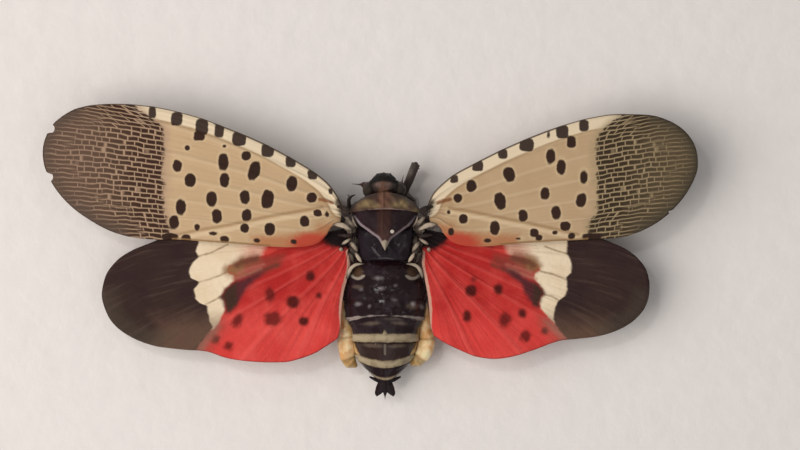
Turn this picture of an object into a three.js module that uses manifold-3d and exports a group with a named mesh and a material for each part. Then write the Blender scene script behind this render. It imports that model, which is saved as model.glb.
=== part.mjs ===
// Spotted lanternfly (Lycorma delicatula), a dried adult set with all four wings spread flat.
// Life size, in millimetres, +Z up. The head points along +Y and the wings lie along X.
// The origin is on the floor plane, under the mesothorax, on the flat of the sternum.
import * as THREE from "three";
import { mergeVertices } from "three/addons/utils/BufferGeometryUtils.js";
import Module from "manifold-3d";

const wasm = await Module();
wasm.setup();

// Driving sizes

const SEAM = 0.25; // clear gap that neighbouring plates keep
const FLOOR = 0; // level of every foot and belly flat
const WING_THICKNESS = 0.5;
const WING_EDGE_THICKNESS = 0.36;
const FOREWING_LEVEL = 3.7; // middle of the forewing's membrane at its hinge
const WING_STEP = 0.84; // the hindwing lies this far below the forewing
const WING_DROOP = 0.9; // both wings sink by this much out to WING_REACH
const WING_REACH = 24;
const VEIN_HEIGHT = 0.13;
const VEIN_HALF_WIDTH = 0.13;
const ROUND_SIDES = 28;

// Colours of the parts, read off the specimen

const COLOURS = {
  forewing: [0xc3a585, 0.62],
  hindwing: [0xc73a36, 0.6],
  notum: [0x4a3a34, 0.5],
  collar: [0x7a6650, 0.6],
  black: [0x1d1a1e, 0.35],
  eye: [0x2b2320, 0.2],
  antenna: [0xb5522c, 0.45],
  leg: [0x241f1e, 0.4],
  fold: [0xd9b56a, 0.35],
};

// Wing outlines. Each edge runs from the hinge outwards, except the margin, which runs from
// the end of the leading edge round the tip to the end of the trailing edge.

const FOREWING_LEFT = {
  leading: [
    [-2.98, 2.45], [-3.88, 3.87], [-6.25, 5.57], [-9.45, 7.2],
    [-12.36, 8.35], [-15.75, 9.26], [-19.14, 9.52], [-21.64, 9.22],
  ],
  margin: [
    [-21.64, 9.22], [-23.28, 8.01], [-23.92, 6.3], [-23.63, 4.55],
    [-22.71, 3.37], [-20.92, 1.65], [-18.78, 0.43],
  ],
  trailing: [
    [-3.12, 1.22], [-3.78, 0.77], [-4.41, 0.07], [-5.18, -0.42], [-6.65, -0.58],
    [-8.4, -0.48], [-10.5, -0.25], [-12.6, -0.11], [-14.4, 0.05], [-16.8, 0.05],
    [-18.78, 0.43],
  ],
};
const FOREWING_RIGHT = {
  leading: [
    [2.98, 2.45], [3.65, 3.61], [5.98, 5.22], [8.4, 6.43],
    [11.2, 7.6], [13.54, 8.35], [16.0, 8.83], [19.04, 8.69],
  ],
  margin: [
    [19.04, 8.69], [20.76, 7.83], [21.8, 6.4], [21.85, 4.75],
    [21.01, 3.14], [19.81, 1.79], [17.95, 0.57],
  ],
  trailing: [
    [3.14, 1.3], [3.71, 0.77], [4.27, 0.04], [4.95, -0.34], [6.51, -0.52],
    [8.05, -0.36], [9.9, -0.2], [12.1, -0.07], [14.0, 0.03], [15.89, 0.09],
    [17.95, 0.57],
  ],
};
const HINDWING_LEFT = {
  leading: [
    [-2.66, 0.88], [-4.2, 0.56], [-7.35, 0.25], [-10.85, 0.3],
    [-13.3, 0.45], [-15.0, 0.52], [-16.82, -0.34],
  ],
  margin: [
    [-16.82, -0.34], [-18.56, -1.22], [-19.6, -2.4], [-19.87, -3.8], [-19.4, -5.5],
    [-18.1, -6.85], [-16.1, -7.5], [-13.9, -7.71], [-12.3, -7.87], [-11.2, -8.25],
    [-8.78, -8.55], [-6.59, -8.5], [-5.11, -8.02], [-3.5, -7.1],
  ],
  trailing: [
    [-2.73, -0.84], [-2.7, -1.7], [-2.85, -2.7], [-3.08, -3.85], [-3.22, -5.2], [-3.5, -7.1],
  ],
};
const HINDWING_RIGHT = {
  leading: [
    [2.66, 0.84], [4.2, 0.49], [7.35, 0.21], [10.85, 0.28],
    [12.95, 0.45], [14.3, 0.55], [15.89, -0.18],
  ],
  margin: [
    [15.89, -0.18], [17.3, -0.85], [18.35, -2.1], [18.55, -3.5], [18.0, -5.0],
    [16.7, -6.15], [14.8, -6.8], [12.4, -7.02], [11.2, -7.42], [9.4, -8.0],
    [7.56, -8.34], [6.0, -8.05], [4.77, -7.6], [3.61, -7.0],
  ],
  trailing: [
    [2.73, -0.91], [2.84, -1.82], [3.0, -2.8], [3.14, -4.0], [3.28, -5.2], [3.61, -7.0],
  ],
};

// Where the main veins leave the hinge, as a share of the way from leading to trailing edge
const FOREWING_VEINS = [0.13, 0.3, 0.46, 0.62, 0.78];
const HINDWING_VEINS = [0.05, 0.16, 0.28, 0.4, 0.54, 0.7, 0.86];
const WING_STATIONS = 14;
const WING_INNER_STATIONS = 1.15; // above 1 the stations crowd towards the margin

// Solids: each helper gives a manifold

// Turns a closed geometry into a solid whose faces point outwards.
function solidOf(geometry) {
  const bare = new THREE.BufferGeometry().setAttribute("position", geometry.getAttribute("position"));
  if (geometry.index) bare.setIndex(geometry.index);
  const merged = mergeVertices(bare, 1e-4);
  const vertProperties = new Float32Array(merged.attributes.position.array);
  const triVerts = new Uint32Array(merged.index.array);
  const made = new wasm.Manifold(new wasm.Mesh({ numProp: 3, vertProperties, triVerts }));
  if (made.volume() > 0) return made;
  for (let i = 0; i < triVerts.length; i += 3) {
    [triVerts[i + 1], triVerts[i + 2]] = [triVerts[i + 2], triVerts[i + 1]];
  }
  return new wasm.Manifold(new wasm.Mesh({ numProp: 3, vertProperties, triVerts }));
}

// A closed skin over rings of equally many points, each end closed by its middle point.
function loft(rings) {
  const sides = rings[0].length;
  const points = rings.flat();
  const index = [];
  for (let i = 0; i + 1 < rings.length; i += 1) {
    for (let j = 0; j < sides; j += 1) {
      const a = i * sides + j;
      const b = i * sides + ((j + 1) % sides);
      index.push(a, b, b + sides, a, b + sides, a + sides);
    }
  }
  for (const end of [0, rings.length - 1]) {
    const middle = rings[end].reduce((sum, p) => sum.add(p), new THREE.Vector3());
    points.push(middle.divideScalar(sides));
    for (let j = 0; j < sides; j += 1) {
      const a = end * sides + j;
      const b = end * sides + ((j + 1) % sides);
      index.push(...(end ? [a, b, points.length - 1] : [b, a, points.length - 1]));
    }
  }
  return solidOf(new THREE.BufferGeometry().setFromPoints(points).setIndex(index));
}

function ellipsoid([x, y, z], [rx, ry, rz], grow = 0, tilt = 0, across = 16, down = 10) {
  const shape = new THREE.SphereGeometry(1, across, down);
  shape.scale(rx + grow, ry + grow, rz + grow);
  shape.rotateX(tilt);
  shape.translate(x, y, z);
  return solidOf(shape);
}

// A round bar along a smooth path. Radii are given at the path's own points.
function limb(path, radii, grow = 0, sides = 8, steps = 2) {
  const points = path.map((p) => new THREE.Vector3(...p));
  const curve = new THREE.CatmullRomCurve3(points, false, "catmullrom", 0.4);
  const count = (path.length - 1) * steps;
  const rings = [];
  for (let i = 0; i <= count; i += 1) {
    const u = i / count;
    const along = u * (radii.length - 1);
    const low = Math.min(Math.floor(along), radii.length - 2);
    const radius = THREE.MathUtils.lerp(radii[low], radii[low + 1], along - low) + grow;
    const ahead = curve.getTangent(u);
    const centre = curve.getPoint(u).addScaledVector(ahead, grow * (2 * u - 1));
    const side = new THREE.Vector3(-ahead.y, ahead.x, 0);
    if (side.lengthSq() < 0.01) side.set(1, 0, 0);
    side.normalize();
    const up = new THREE.Vector3().crossVectors(ahead, side).normalize();
    rings.push(
      Array.from({ length: sides }, (_, j) => {
        const turn = ((j + 0.5) / sides) * Math.PI * 2;
        const point = centre.clone();
        point.addScaledVector(side, Math.cos(turn) * radius);
        point.addScaledVector(up, Math.sin(turn) * radius);
        point.z = Math.max(point.z, FLOOR);
        return point;
      }),
    );
  }
  return loft(rings);
}

// A rounded body section: half width w, from level low to level high, widest at level waist.
// bow moves the sides of the ring forward by that much, and the section is flat on the floor.
function section(y, w, low, high, waist, bow, sides = ROUND_SIDES, square = 0.92) {
  return Array.from({ length: sides }, (_, j) => {
    const turn = ((j + 0.5) / sides) * Math.PI * 2;
    const c = Math.cos(turn);
    const s = Math.sin(turn);
    const x = Math.sign(c) * Math.abs(c) ** square * w;
    const rise = s > 0 ? high - waist : waist - low;
    const z = waist + Math.sign(s) * Math.abs(s) ** square * rise;
    return new THREE.Vector3(x, y + bow * (x / w) ** 2, Math.max(z, FLOOR));
  });
}

// A profile is rows of [y, half width, low, high, waist], read with smooth steps between rows.
function readProfile(rows, y) {
  const last = rows.length - 2;
  let k = 0;
  while (k < last && y < rows[k + 1][0]) k += 1;
  const t = THREE.MathUtils.clamp((rows[k][0] - y) / (rows[k][0] - rows[k + 1][0]), 0, 1);
  return rows[k].map((value, i) => THREE.MathUtils.lerp(value, rows[k + 1][i], t));
}

// A body stretch between two bowed cuts. grow swells it, and lip makes its rear edge stand proud.
function stretch(rows, front, rear, { grow = 0, lip = 0, steps = 5, sides = ROUND_SIDES } = {}) {
  const rings = [];
  for (let i = 0; i <= steps; i += 1) {
    const t = i / steps;
    const y = THREE.MathUtils.lerp(front.y, rear.y, t);
    const bow = THREE.MathUtils.lerp(front.bow, rear.bow, t);
    const [, w, low, high, waist] = readProfile(rows, y);
    const swell = grow + lip * (t * t - 0.3);
    const place = y + grow * (1 - 2 * t);
    rings.push(section(place, w + swell, low - swell, high + swell, waist, bow, sides));
  }
  return loft(rings);
}

// A plate along Y whose plan outline is its half widths: rows of [y, half width, low, high].
// The top is arched, the underside flat, and middle shifts the whole outline sideways.
function plate(rows, { bow = 0, across = 14, crest = 0, grow = 0, middle = 0 } = {}) {
  const rings = rows.map(([y, w, low, high], i) => {
    const swell = grow * (1 - (2 * i) / (rows.length - 1));
    const top = [];
    const under = [];
    for (let j = 0; j <= across; j += 1) {
      const x = -1 + (2 * j) / across;
      const arch = (1 - Math.abs(x) ** 2.4) ** 0.62;
      const keel = crest * Math.max(0, 1 - Math.abs(x) * 7);
      const place = y + swell + bow * x * x;
      const rim = 0.18;
      top.push(new THREE.Vector3(
        middle + x * (w + grow), place, low + grow + rim + (high - low - rim) * arch + keel,
      ));
      under.unshift(new THREE.Vector3(middle + x * (w + grow), place, low - grow));
    }
    return [...top, ...under];
  });
  return loft(rings);
}

// Wings

function edgeCurve(points) {
  const curve = new THREE.SplineCurve(points.map(([x, y]) => new THREE.Vector2(x, y)));
  curve.arcLengthDivisions = 400;
  return (u) => curve.getPointAt(u);
}

// A patch between four edges: s runs from hinge to margin and t from leading to trailing edge.
function wingPatch({ leading, margin, trailing }) {
  const lead = edgeCurve(leading);
  const trail = edgeCurve(trailing);
  const outer = edgeCurve(margin);
  const [a, b, c, d] = [lead(0), lead(1), trail(0), trail(1)];
  return (s, t) => {
    const hinge = a.clone().lerp(c, t);
    const point = lead(s).multiplyScalar(1 - t).addScaledVector(trail(s), t);
    point.addScaledVector(hinge, 1 - s).addScaledVector(outer(t), s);
    point.addScaledVector(a, -(1 - s) * (1 - t)).addScaledVector(b, -s * (1 - t));
    return point.addScaledVector(c, -(1 - s) * t).addScaledVector(d, -s * t);
  };
}

// The level of the wings' middle surface: flat at the hinge and drooping outwards.
function wingLevel(x) {
  return FOREWING_LEVEL - WING_DROOP * (Math.abs(x) / WING_REACH) ** 2;
}

// Rows of the wing's grid: three for each vein, so that it stands as a ridge, and one between.
function wingRows(veins, width) {
  const half = VEIN_HALF_WIDTH / width;
  const rows = [{ t: 0, ridge: 0.5 }];
  let before = 0;
  for (const vein of veins) {
    if (vein - half - before > 0.05) rows.push({ t: (vein - half + before) / 2, ridge: 0 });
    rows.push({ t: vein - half, ridge: 0 }, { t: vein, ridge: 1 }, { t: vein + half, ridge: 0 });
    before = vein + half;
  }
  rows.push({ t: (1 + before) / 2, ridge: 0 }, { t: 1, ridge: 0 });
  return rows;
}

// One closed membrane with raised veins. Both faces are split into the same triangles.
function wing(outline, veins, { drop, width, ripple }) {
  const patch = wingPatch(outline);
  const rows = wingRows(veins, width);
  const across = rows.length;
  const top = [];
  const under = [];
  for (let i = 0; i <= WING_STATIONS; i += 1) {
    const s = 1 - (1 - i / WING_STATIONS) ** WING_INNER_STATIONS;
    rows.forEach(({ t, ridge }, j) => {
      const edge = i === 0 || i === WING_STATIONS || j === 0 || j === across - 1;
      const half = (edge ? WING_EDGE_THICKNESS : WING_THICKNESS) / 2;
      const p = patch(s, t);
      const middle = wingLevel(p.x) - drop + ripple(s, t);
      const vein = ridge * VEIN_HEIGHT * (edge ? 0.5 : 1 - 0.6 * s);
      top.push(new THREE.Vector3(p.x, p.y, middle + half + vein));
      under.push(new THREE.Vector3(p.x, p.y, middle - half));
    });
  }
  const index = [];
  const count = top.length;
  const quad = (a, b, c, d) => index.push(a, b, c, a, c, d);
  for (let i = 0; i < WING_STATIONS; i += 1) {
    for (let j = 0; j + 1 < across; j += 1) {
      const a = i * across + j;
      quad(a, a + 1, a + across + 1, a + across);
      quad(count + a, count + a + across, count + a + across + 1, count + a + 1);
    }
  }
  // The wall runs once round the grid's edge.
  const rim = [];
  for (let j = 0; j < across; j += 1) rim.push(j);
  for (let i = 1; i <= WING_STATIONS; i += 1) rim.push(i * across + across - 1);
  for (let j = across - 2; j >= 0; j -= 1) rim.push(WING_STATIONS * across + j);
  for (let i = WING_STATIONS - 1; i > 0; i -= 1) rim.push(i * across);
  rim.forEach((a, k) => {
    const b = rim[(k + 1) % rim.length];
    quad(a, count + a, count + b, b);
  });
  return solidOf(new THREE.BufferGeometry().setFromPoints([...top, ...under]).setIndex(index));
}

// Body profiles, as rows of [y, half width, low, high, waist] from front to rear

const THORAX = [
  [3.0, 1.35, 1.5, 2.7, 2.1], [2.4, 1.95, 0.95, 2.9, 2.0], [1.5, 2.3, 0.4, 3.0, 1.9],
  [0.8, 2.36, -0.1, 3.0, 1.8], [-0.6, 2.32, -0.1, 3.0, 1.8], [-1.45, 2.0, 0.1, 2.95, 1.7],
];
const ABDOMEN = [
  [-1.72, 1.95, 0.2, 3.45, 1.7], [-2.4, 2.45, 0.0, 3.65, 1.7], [-3.3, 2.85, -0.1, 3.85, 1.7],
  [-4.4, 2.98, -0.15, 3.95, 1.7], [-5.3, 2.9, -0.15, 3.85, 1.7], [-6.5, 2.64, -0.12, 3.6, 1.6],
  [-7.5, 2.42, -0.08, 3.3, 1.5], [-8.5, 2.28, 0.1, 2.9, 1.45], [-9.1, 2.05, 0.35, 2.55, 1.4],
  [-9.5, 1.72, 0.6, 2.35, 1.4], [-9.9, 1.2, 0.9, 2.1, 1.4],
];
// Plates of the back, as rows of [y, half width, underside, top]
const PRONOTUM = [
  [3.65, 0.5, 3.3, 3.8], [3.45, 0.95, 3.15, 3.95], [3.18, 1.6, 3.1, 4.1],
  [2.78, 2.04, 3.12, 4.22], [2.42, 2.4, 3.2, 4.32], [2.17, 2.48, 3.25, 4.3],
];
const MESONOTUM = [
  [1.8, 2.28, 3.27, 4.5], [1.5, 2.12, 3.27, 4.68], [1.15, 1.85, 3.35, 4.8],
  [0.74, 1.46, 4.05, 4.84], [0.4, 0.84, 4.12, 4.8], [0.05, 0.46, 4.12, 4.7],
  [-0.35, 0.26, 4.1, 4.55], [-0.69, 0.08, 4.08, 4.4],
];
const METANOTUM = [
  [0.75, 1.9, 3.25, 3.62], [0.3, 1.9, 3.25, 3.78], [-0.4, 1.82, 3.25, 3.85],
  [-1.0, 1.74, 3.25, 3.8], [-1.42, 1.6, 3.22, 3.62],
];
// Cuts between the abdomen's rings, at the middle of the back. A bow carries the sides forward.
const ABDOMEN_CUTS = [
  { y: -1.72, bow: 0.1 }, { y: -2.85, bow: 0.05 }, { y: -4.15, bow: 0 }, { y: -5.2, bow: -0.28 },
  { y: -7.15, bow: 0.05 }, { y: -8.95, bow: 0.62 }, { y: -9.72, bow: 0.62 },
];

const HEAD_MIDDLE = -0.08; // the head is turned a little to the left
const HEAD = { at: [HEAD_MIDDLE, 3.72, 2.6], size: [1.12, 0.72, 1.0] };
const SNOUT = { at: [HEAD_MIDDLE, 4.05, 3.0], size: [0.88, 0.66, 0.72] };
const EYE_SIZE = [0.43, 0.56, 0.5];
const EYES = { left: [-1.12, 3.52, 2.78], right: [1.02, 3.52, 2.78] };

// The head without its sockets, swelled by grow.
function headShape(grow = 0) {
  const frons = ellipsoid([HEAD_MIDDLE, 4.12, 2.2], [0.7, 0.42, 1.05], grow, 0.12);
  const clypeus = ellipsoid([HEAD_MIDDLE, 3.85, 1.35], [0.4, 0.38, 0.6], grow, 0.5, 14, 8);
  return ellipsoid(HEAD.at, HEAD.size, grow)
    .add(ellipsoid(SNOUT.at, SNOUT.size, grow))
    .add(frons)
    .add(clypeus);
}

// A node keeps only its largest closed surface.
function largest(solid) {
  return solid.decompose().sort((a, b) => b.volume() - a.volume())[0];
}

const model = new THREE.Group();

function addNode(name, solid, finish) {
  const mesh = largest(solid).getMesh();
  const geometry = new THREE.BufferGeometry();
  geometry.setAttribute("position", new THREE.BufferAttribute(mesh.vertProperties, mesh.numProp));
  geometry.setIndex(new THREE.BufferAttribute(mesh.triVerts, 1));
  geometry.computeVertexNormals();
  const [color, roughness] = COLOURS[finish];
  const material = new THREE.MeshStandardMaterial({ color, roughness, metalness: 0 });
  const node = new THREE.Mesh(geometry, material);
  node.name = name;
  model.add(node);
}

// Wings: the hindwing's rear field is thrown into shallow pleats

const pleat = (s, t) => 0.1 * s * Math.sin(t * Math.PI * 9) * THREE.MathUtils.smoothstep(t, 0.35, 0.7);
const arch = (s, t) => 0.25 * Math.sin(t * Math.PI) * Math.sin(Math.min(s * 1.2, 1) * Math.PI * 0.5);
const FOREWING = { drop: 0, width: 8.5, ripple: arch };
const HINDWING = { drop: WING_STEP, width: 8, ripple: pleat };

addNode("forewing_left", wing(FOREWING_LEFT, FOREWING_VEINS, FOREWING), "forewing");
addNode("forewing_right", wing(FOREWING_RIGHT, FOREWING_VEINS, FOREWING), "forewing");
addNode("hindwing_left", wing(HINDWING_LEFT, HINDWING_VEINS, HINDWING), "hindwing");
addNode("hindwing_right", wing(HINDWING_RIGHT, HINDWING_VEINS, HINDWING), "hindwing");

// Thorax: a flat-bellied core under three plates of the back

const thoraxEnds = [{ y: 3.0, bow: -0.15 }, { y: -1.48, bow: 0.1 }];
const thoraxShape = (grow = 0) => stretch(THORAX, ...thoraxEnds, { grow, steps: 9 });

const pronotum = plate(PRONOTUM, { bow: -0.14, crest: 0.08 });
const mesonotum = plate(MESONOTUM, { crest: 0.06 });
const metanotum = plate(METANOTUM);

addNode("thorax", thoraxShape(), "black");
addNode("mesonotum", mesonotum, "notum");
addNode("metanotum", metanotum, "black");

// Head, with a socket for each eye

let head = headShape().subtract(thoraxShape(SEAM));
let collar = pronotum.subtract(headShape(SEAM));
for (const [side, at] of Object.entries(EYES)) {
  const socket = ellipsoid(at, EYE_SIZE, SEAM);
  head = head.subtract(socket);
  collar = collar.subtract(socket);
  addNode("eye_" + side, ellipsoid(at, EYE_SIZE).subtract(thoraxShape(SEAM)), "eye");
}
addNode("head", head, "notum");
addNode("pronotum", collar, "collar");

// Feelers: a swollen second joint below the eye, and a bristle

const FEELERS = {
  left: [[-1.2, 3.62, 1.92], [-1.38, 3.74, 1.86], [-1.6, 3.84, 1.86], [-1.88, 3.9, 1.9]],
  right: [[0.98, 3.62, 1.95], [1.08, 3.76, 1.9], [1.15, 3.94, 1.88], [1.2, 4.15, 1.86]],
};
for (const [side, path] of Object.entries(FEELERS)) {
  const feeler = limb(path, [0.26, 0.32, 0.22, 0.05]);
  const clear = ellipsoid(EYES[side], EYE_SIZE, SEAM).add(headShape(SEAM));
  addNode("antenna_" + side, feeler.subtract(clear), "antenna");
}

// Beak, laid back between the front legs

const beak = limb([[HEAD_MIDDLE, 3.5, 0.75], [0, 2.5, 0.35], [0, 1.7, 0.2]], [0.27, 0.25, 0.14]);
addNode("beak", beak.subtract(headShape(SEAM)).subtract(thoraxShape(SEAM)), "leg");

// Hinges: a scale over each forewing root, and the small plates between the back and each wing

const TEGULA = { at: [2.74, 1.98, 4.36], size: [0.36, 0.42, 0.2] };
const FORE_HINGE = { at: [2.36, 1.02, 3.62], size: [0.5, 0.66, 0.34] };
const HIND_HINGE = { at: [2.12, -0.55, 2.94], size: [0.34, 0.85, 0.32] };
const PLATE_SEAM = SEAM * 1.4; // the plates' edges slant, so the same growth clears them by less
const backClear = plate(MESONOTUM, { grow: PLATE_SEAM })
  .add(plate(METANOTUM, { grow: PLATE_SEAM }))
  .add(thoraxShape(SEAM));
for (const [side, sign] of [["left", -1], ["right", 1]]) {
  const placed = ({ at: [x, y, z], size }) => ellipsoid([x * sign, y, z], size, 0, 0, 16, 10);
  addNode("tegula_" + side, placed(TEGULA), "black");
  addNode("fore_hinge_" + side, placed(FORE_HINGE).subtract(backClear), "leg");
  addNode("hind_hinge_" + side, placed(HIND_HINGE).subtract(backClear), "leg");
}

// Abdomen: six rings, each lipped at its rear edge

const cutBefore = (cut) => ({ y: cut.y - SEAM / 2, bow: cut.bow });
const cutAfter = (cut) => ({ y: cut.y + SEAM / 2, bow: cut.bow });
for (let k = 0; k + 1 < ABDOMEN_CUTS.length; k += 1) {
  const ring = stretch(ABDOMEN, cutBefore(ABDOMEN_CUTS[k]), cutAfter(ABDOMEN_CUTS[k + 1]), {
    lip: 0.1,
    steps: 4,
  });
  addNode("abdomen_" + (k + 1), ring, "black");
}

// Swollen yellow membrane showing at each side between the rear rings

const abdomenClear = stretch(ABDOMEN, { y: -5.9, bow: 0 }, { y: -9.9, bow: 0 }, { grow: SEAM + 0.07, steps: 8 });
const FOLDS = {
  left: [[[-2.75, -6.95, 1.5], [0.6, 0.5, 0.62]], [[-2.72, -7.75, 1.45], [0.66, 0.62, 0.66]],
    [[-2.35, -8.5, 1.35], [0.55, 0.45, 0.55]]],
  right: [[[2.75, -7.0, 1.5], [0.62, 0.5, 0.62]], [[2.6, -7.8, 1.5], [0.62, 0.55, 0.66]],
    [[2.15, -8.45, 1.35], [0.55, 0.42, 0.52]]],
};
for (const [side, lobes] of Object.entries(FOLDS)) {
  const joined = lobes.map(([at, size]) => ellipsoid(at, size, 0, 0, 14, 8)).reduce((a, b) => a.add(b));
  addNode("side_fold_" + side, joined.subtract(abdomenClear), "fold");
}

// Tail end: two thin arms on a capsule, and the notched fan of the anal flap

const TAIL_LEVEL = 1.55;
const arms = [-1, 1]
  .map((side) => limb(
    [[0, -9.95, TAIL_LEVEL], [side * 0.5, -9.9, TAIL_LEVEL], [side * 1.05, -9.64, TAIL_LEVEL]],
    [0.26, 0.24, 0.12],
  ))
  .reduce((a, b) => a.add(b));

const FAN_THICKNESS = 0.5;
const FAN_HALF = [[0.3, -9.95], [0.56, -10.3], [0.72, -10.7], [0.66, -10.98], [0.3, -10.72]];
const fanOutline = new THREE.Shape();
FAN_HALF.forEach(([x, y], i) => (i ? fanOutline.lineTo(x, y) : fanOutline.moveTo(x, y)));
fanOutline.lineTo(0.12, -10.76);
fanOutline.lineTo(0.03, -11.22);
fanOutline.lineTo(-0.08, -10.76);
[...FAN_HALF].reverse().forEach(([x, y]) => fanOutline.lineTo(-x, y));
const fanShape = new THREE.ExtrudeGeometry(fanOutline, { depth: FAN_THICKNESS, bevelEnabled: false });
fanShape.translate(0, 0, TAIL_LEVEL - FAN_THICKNESS / 2);
addNode("anal_flap", solidOf(fanShape).add(arms), "black");

// Legs. A thigh leaves the thorax, the shin goes on from the knee and the foot from the ankle.

const FORE_RIGHT = {
  thigh: [[1.3, 1.9, 0.9], [1.75, 2.3, 0.75], [2.05, 2.7, 0.65]],
  shin: [[2.05, 2.7, 0.65], [1.4, 3.3, 1.1], [1.75, 4.3, 1.55], [2.16, 5.33, 1.95]],
  foot: [[2.16, 5.33, 1.95], [2.05, 5.1, 1.2], [1.85, 4.6, 0.6], [1.7, 4.1, 0.22]],
};
const FORE_LEFT = {
  thigh: [[-1.3, 1.9, 0.9], [-1.6, 2.5, 0.95], [-1.85, 3.0, 1.05]],
  shin: [[-1.85, 3.0, 1.05], [-2.4, 2.5, 0.7], [-2.85, 1.9, 0.5]],
  foot: [[-2.85, 1.9, 0.5], [-2.6, 2.3, 0.95], [-2.6, 2.9, 1.35], [-2.1, 3.2, 1.4]],
};
const MID = {
  thigh: [[1.9, 0.8, 0.8], [3.1, 1.4, 1.1], [3.95, 1.95, 1.45]],
  shin: [[3.95, 1.95, 1.45], [4.5, 0.4, 0.95], [5.0, -1.5, 0.35]],
  foot: [[5.0, -1.5, 0.35], [5.15, -2.3, 0.2], [5.25, -3.2, 0.2]],
};
const HIND = {
  thigh: [[1.9, -0.4, 0.8], [3.1, -1.2, 1.1], [3.95, -1.75, 1.35]],
  shin: [[3.95, -1.75, 1.35], [4.35, -3.5, 0.85], [4.6, -5.4, 0.35]],
  foot: [[4.6, -5.4, 0.35], [4.65, -6.2, 0.2], [4.6, -7.0, 0.2]],
};
const THIGH_RADII = [0.34, 0.3, 0.26];
const SHIN_RADII = [0.25, 0.25, 0.26];
const FOOT_RADII = [0.25, 0.22, 0.13];

function mirrored(joints) {
  const turned = Object.entries(joints).map(([joint, path]) => [joint, path.map(([x, y, z]) => [-x, y, z])]);
  return Object.fromEntries(turned);
}

const LEGS = {
  foreleg_left: FORE_LEFT,
  foreleg_right: FORE_RIGHT,
  midleg_left: mirrored(MID),
  midleg_right: MID,
  hindleg_left: mirrored(HIND),
  hindleg_right: HIND,
};
for (const [leg, { thigh, shin, foot }] of Object.entries(LEGS)) {
  const upper = limb(thigh, THIGH_RADII).subtract(thoraxShape(SEAM));
  const middle = limb(shin, SHIN_RADII).subtract(limb(thigh, THIGH_RADII, SEAM));
  const lower = limb(foot, FOOT_RADII).subtract(limb(shin, SHIN_RADII, SEAM));
  addNode(leg + "_thigh", upper, "leg");
  addNode(leg + "_shin", middle, "leg");
  addNode(leg + "_foot", lower, "leg");
}

export default model;
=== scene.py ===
"""A spotted lanternfly, dried and set with its four wings spread flat, resting on its belly.

Lengths are in millimetres until a mesh is made. The head points along +Y and +Z is up.
"""
import math

import bpy
import numpy as np
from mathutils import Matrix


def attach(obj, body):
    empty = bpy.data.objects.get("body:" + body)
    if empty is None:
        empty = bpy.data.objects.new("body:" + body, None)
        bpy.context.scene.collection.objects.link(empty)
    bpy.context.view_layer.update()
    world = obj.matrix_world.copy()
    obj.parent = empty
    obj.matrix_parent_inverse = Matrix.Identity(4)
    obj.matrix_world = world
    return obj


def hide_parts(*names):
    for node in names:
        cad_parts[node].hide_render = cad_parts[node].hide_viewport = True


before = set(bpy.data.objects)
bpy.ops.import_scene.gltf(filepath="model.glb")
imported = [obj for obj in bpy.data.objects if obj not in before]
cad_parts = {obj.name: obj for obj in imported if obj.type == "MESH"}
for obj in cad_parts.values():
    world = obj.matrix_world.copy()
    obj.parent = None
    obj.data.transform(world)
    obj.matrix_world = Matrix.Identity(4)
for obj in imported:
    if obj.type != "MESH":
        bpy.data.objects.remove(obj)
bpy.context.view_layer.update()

MM = 0.001

# Shapes


def smooth_path(points, share):
    """Places at the given shares of the length of a smooth curve through the points.

    Between two points runs the Catmull-Rom cubic, with the first and last point doubled.
    """
    points = np.asarray(points, float)
    padded = np.vstack([points[:1], points, points[-1:]])
    u = np.linspace(0, len(points) - 1, 40 * (len(points) - 1) + 1)
    k = np.minimum(u.astype(int), len(points) - 2)
    f = (u - k)[:, None]
    a, b, c, d = (padded[k + i] for i in range(4))
    curve = b + 0.5 * f * (c - a + f * (2 * a - 5 * b + 4 * c - d + f * (3 * b - a - 3 * c + d)))
    walked = np.concatenate([[0], np.cumsum(np.linalg.norm(np.diff(curve, axis=0), axis=1))])
    along = np.asarray(share, float) * walked[-1]
    return np.stack([np.interp(along, walked, axis) for axis in curve.T], -1)


def step(low, high, value):
    """0 below low, 1 above high, and the smooth cubic 3x^2 - 2x^3 between."""
    x = np.clip((np.asarray(value, float) - low) / (high - low), 0, 1)
    return x * x * (3 - 2 * x)


def bell(offset, width):
    """A rounded peak, 1 where offset is 0: e to the power of -(offset / width)^2."""
    return np.exp(-((offset / width) ** 2))


def ripple(x, y, size, seed=0):
    """A rough field near -1 to 1: nine sine waves in turned directions, of lengths near size."""
    turns = np.random.default_rng(seed).uniform(0, 2 * math.pi, (9, 2))
    waves = [
        np.sin((x * math.cos(a) + y * math.sin(a)) * 2 * math.pi / (size * (0.7 + 0.09 * k)) + b)
        for k, (a, b) in enumerate(turns)
    ]
    return sum(waves) / 3


def line_distance(x, y, path):
    """The distance from each place to the nearest stretch of a line through the points of path."""
    path = np.asarray(path, float)
    best = np.full(x.shape, np.inf)
    for (ax, ay), (bx, by) in zip(path[:-1], path[1:]):
        run = (bx - ax) ** 2 + (by - ay) ** 2 + 1e-12
        f = np.clip(((x - ax) * (bx - ax) + (y - ay) * (by - ay)) / run, 0, 1)
        best = np.minimum(best, np.hypot(x - ax - f * (bx - ax), y - ay - f * (by - ay)))
    return best


def inside_outline(x, y, outline):
    """How deep each place lies inside a closed outline: its distance in, negative outside."""
    corners = np.asarray(outline, float)
    inside = np.zeros(x.shape, bool)
    for (ax, ay), (bx, by) in zip(corners, np.roll(corners, -1, axis=0)):
        crosses = (ay > y) != (by > y)
        inside ^= crosses & (x < (bx - ax) * (y - ay) / (by - ay + 1e-12) + ax)
    depth = line_distance(x, y, np.vstack([corners, corners[:1]]))
    return np.where(inside, depth, -depth)


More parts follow.
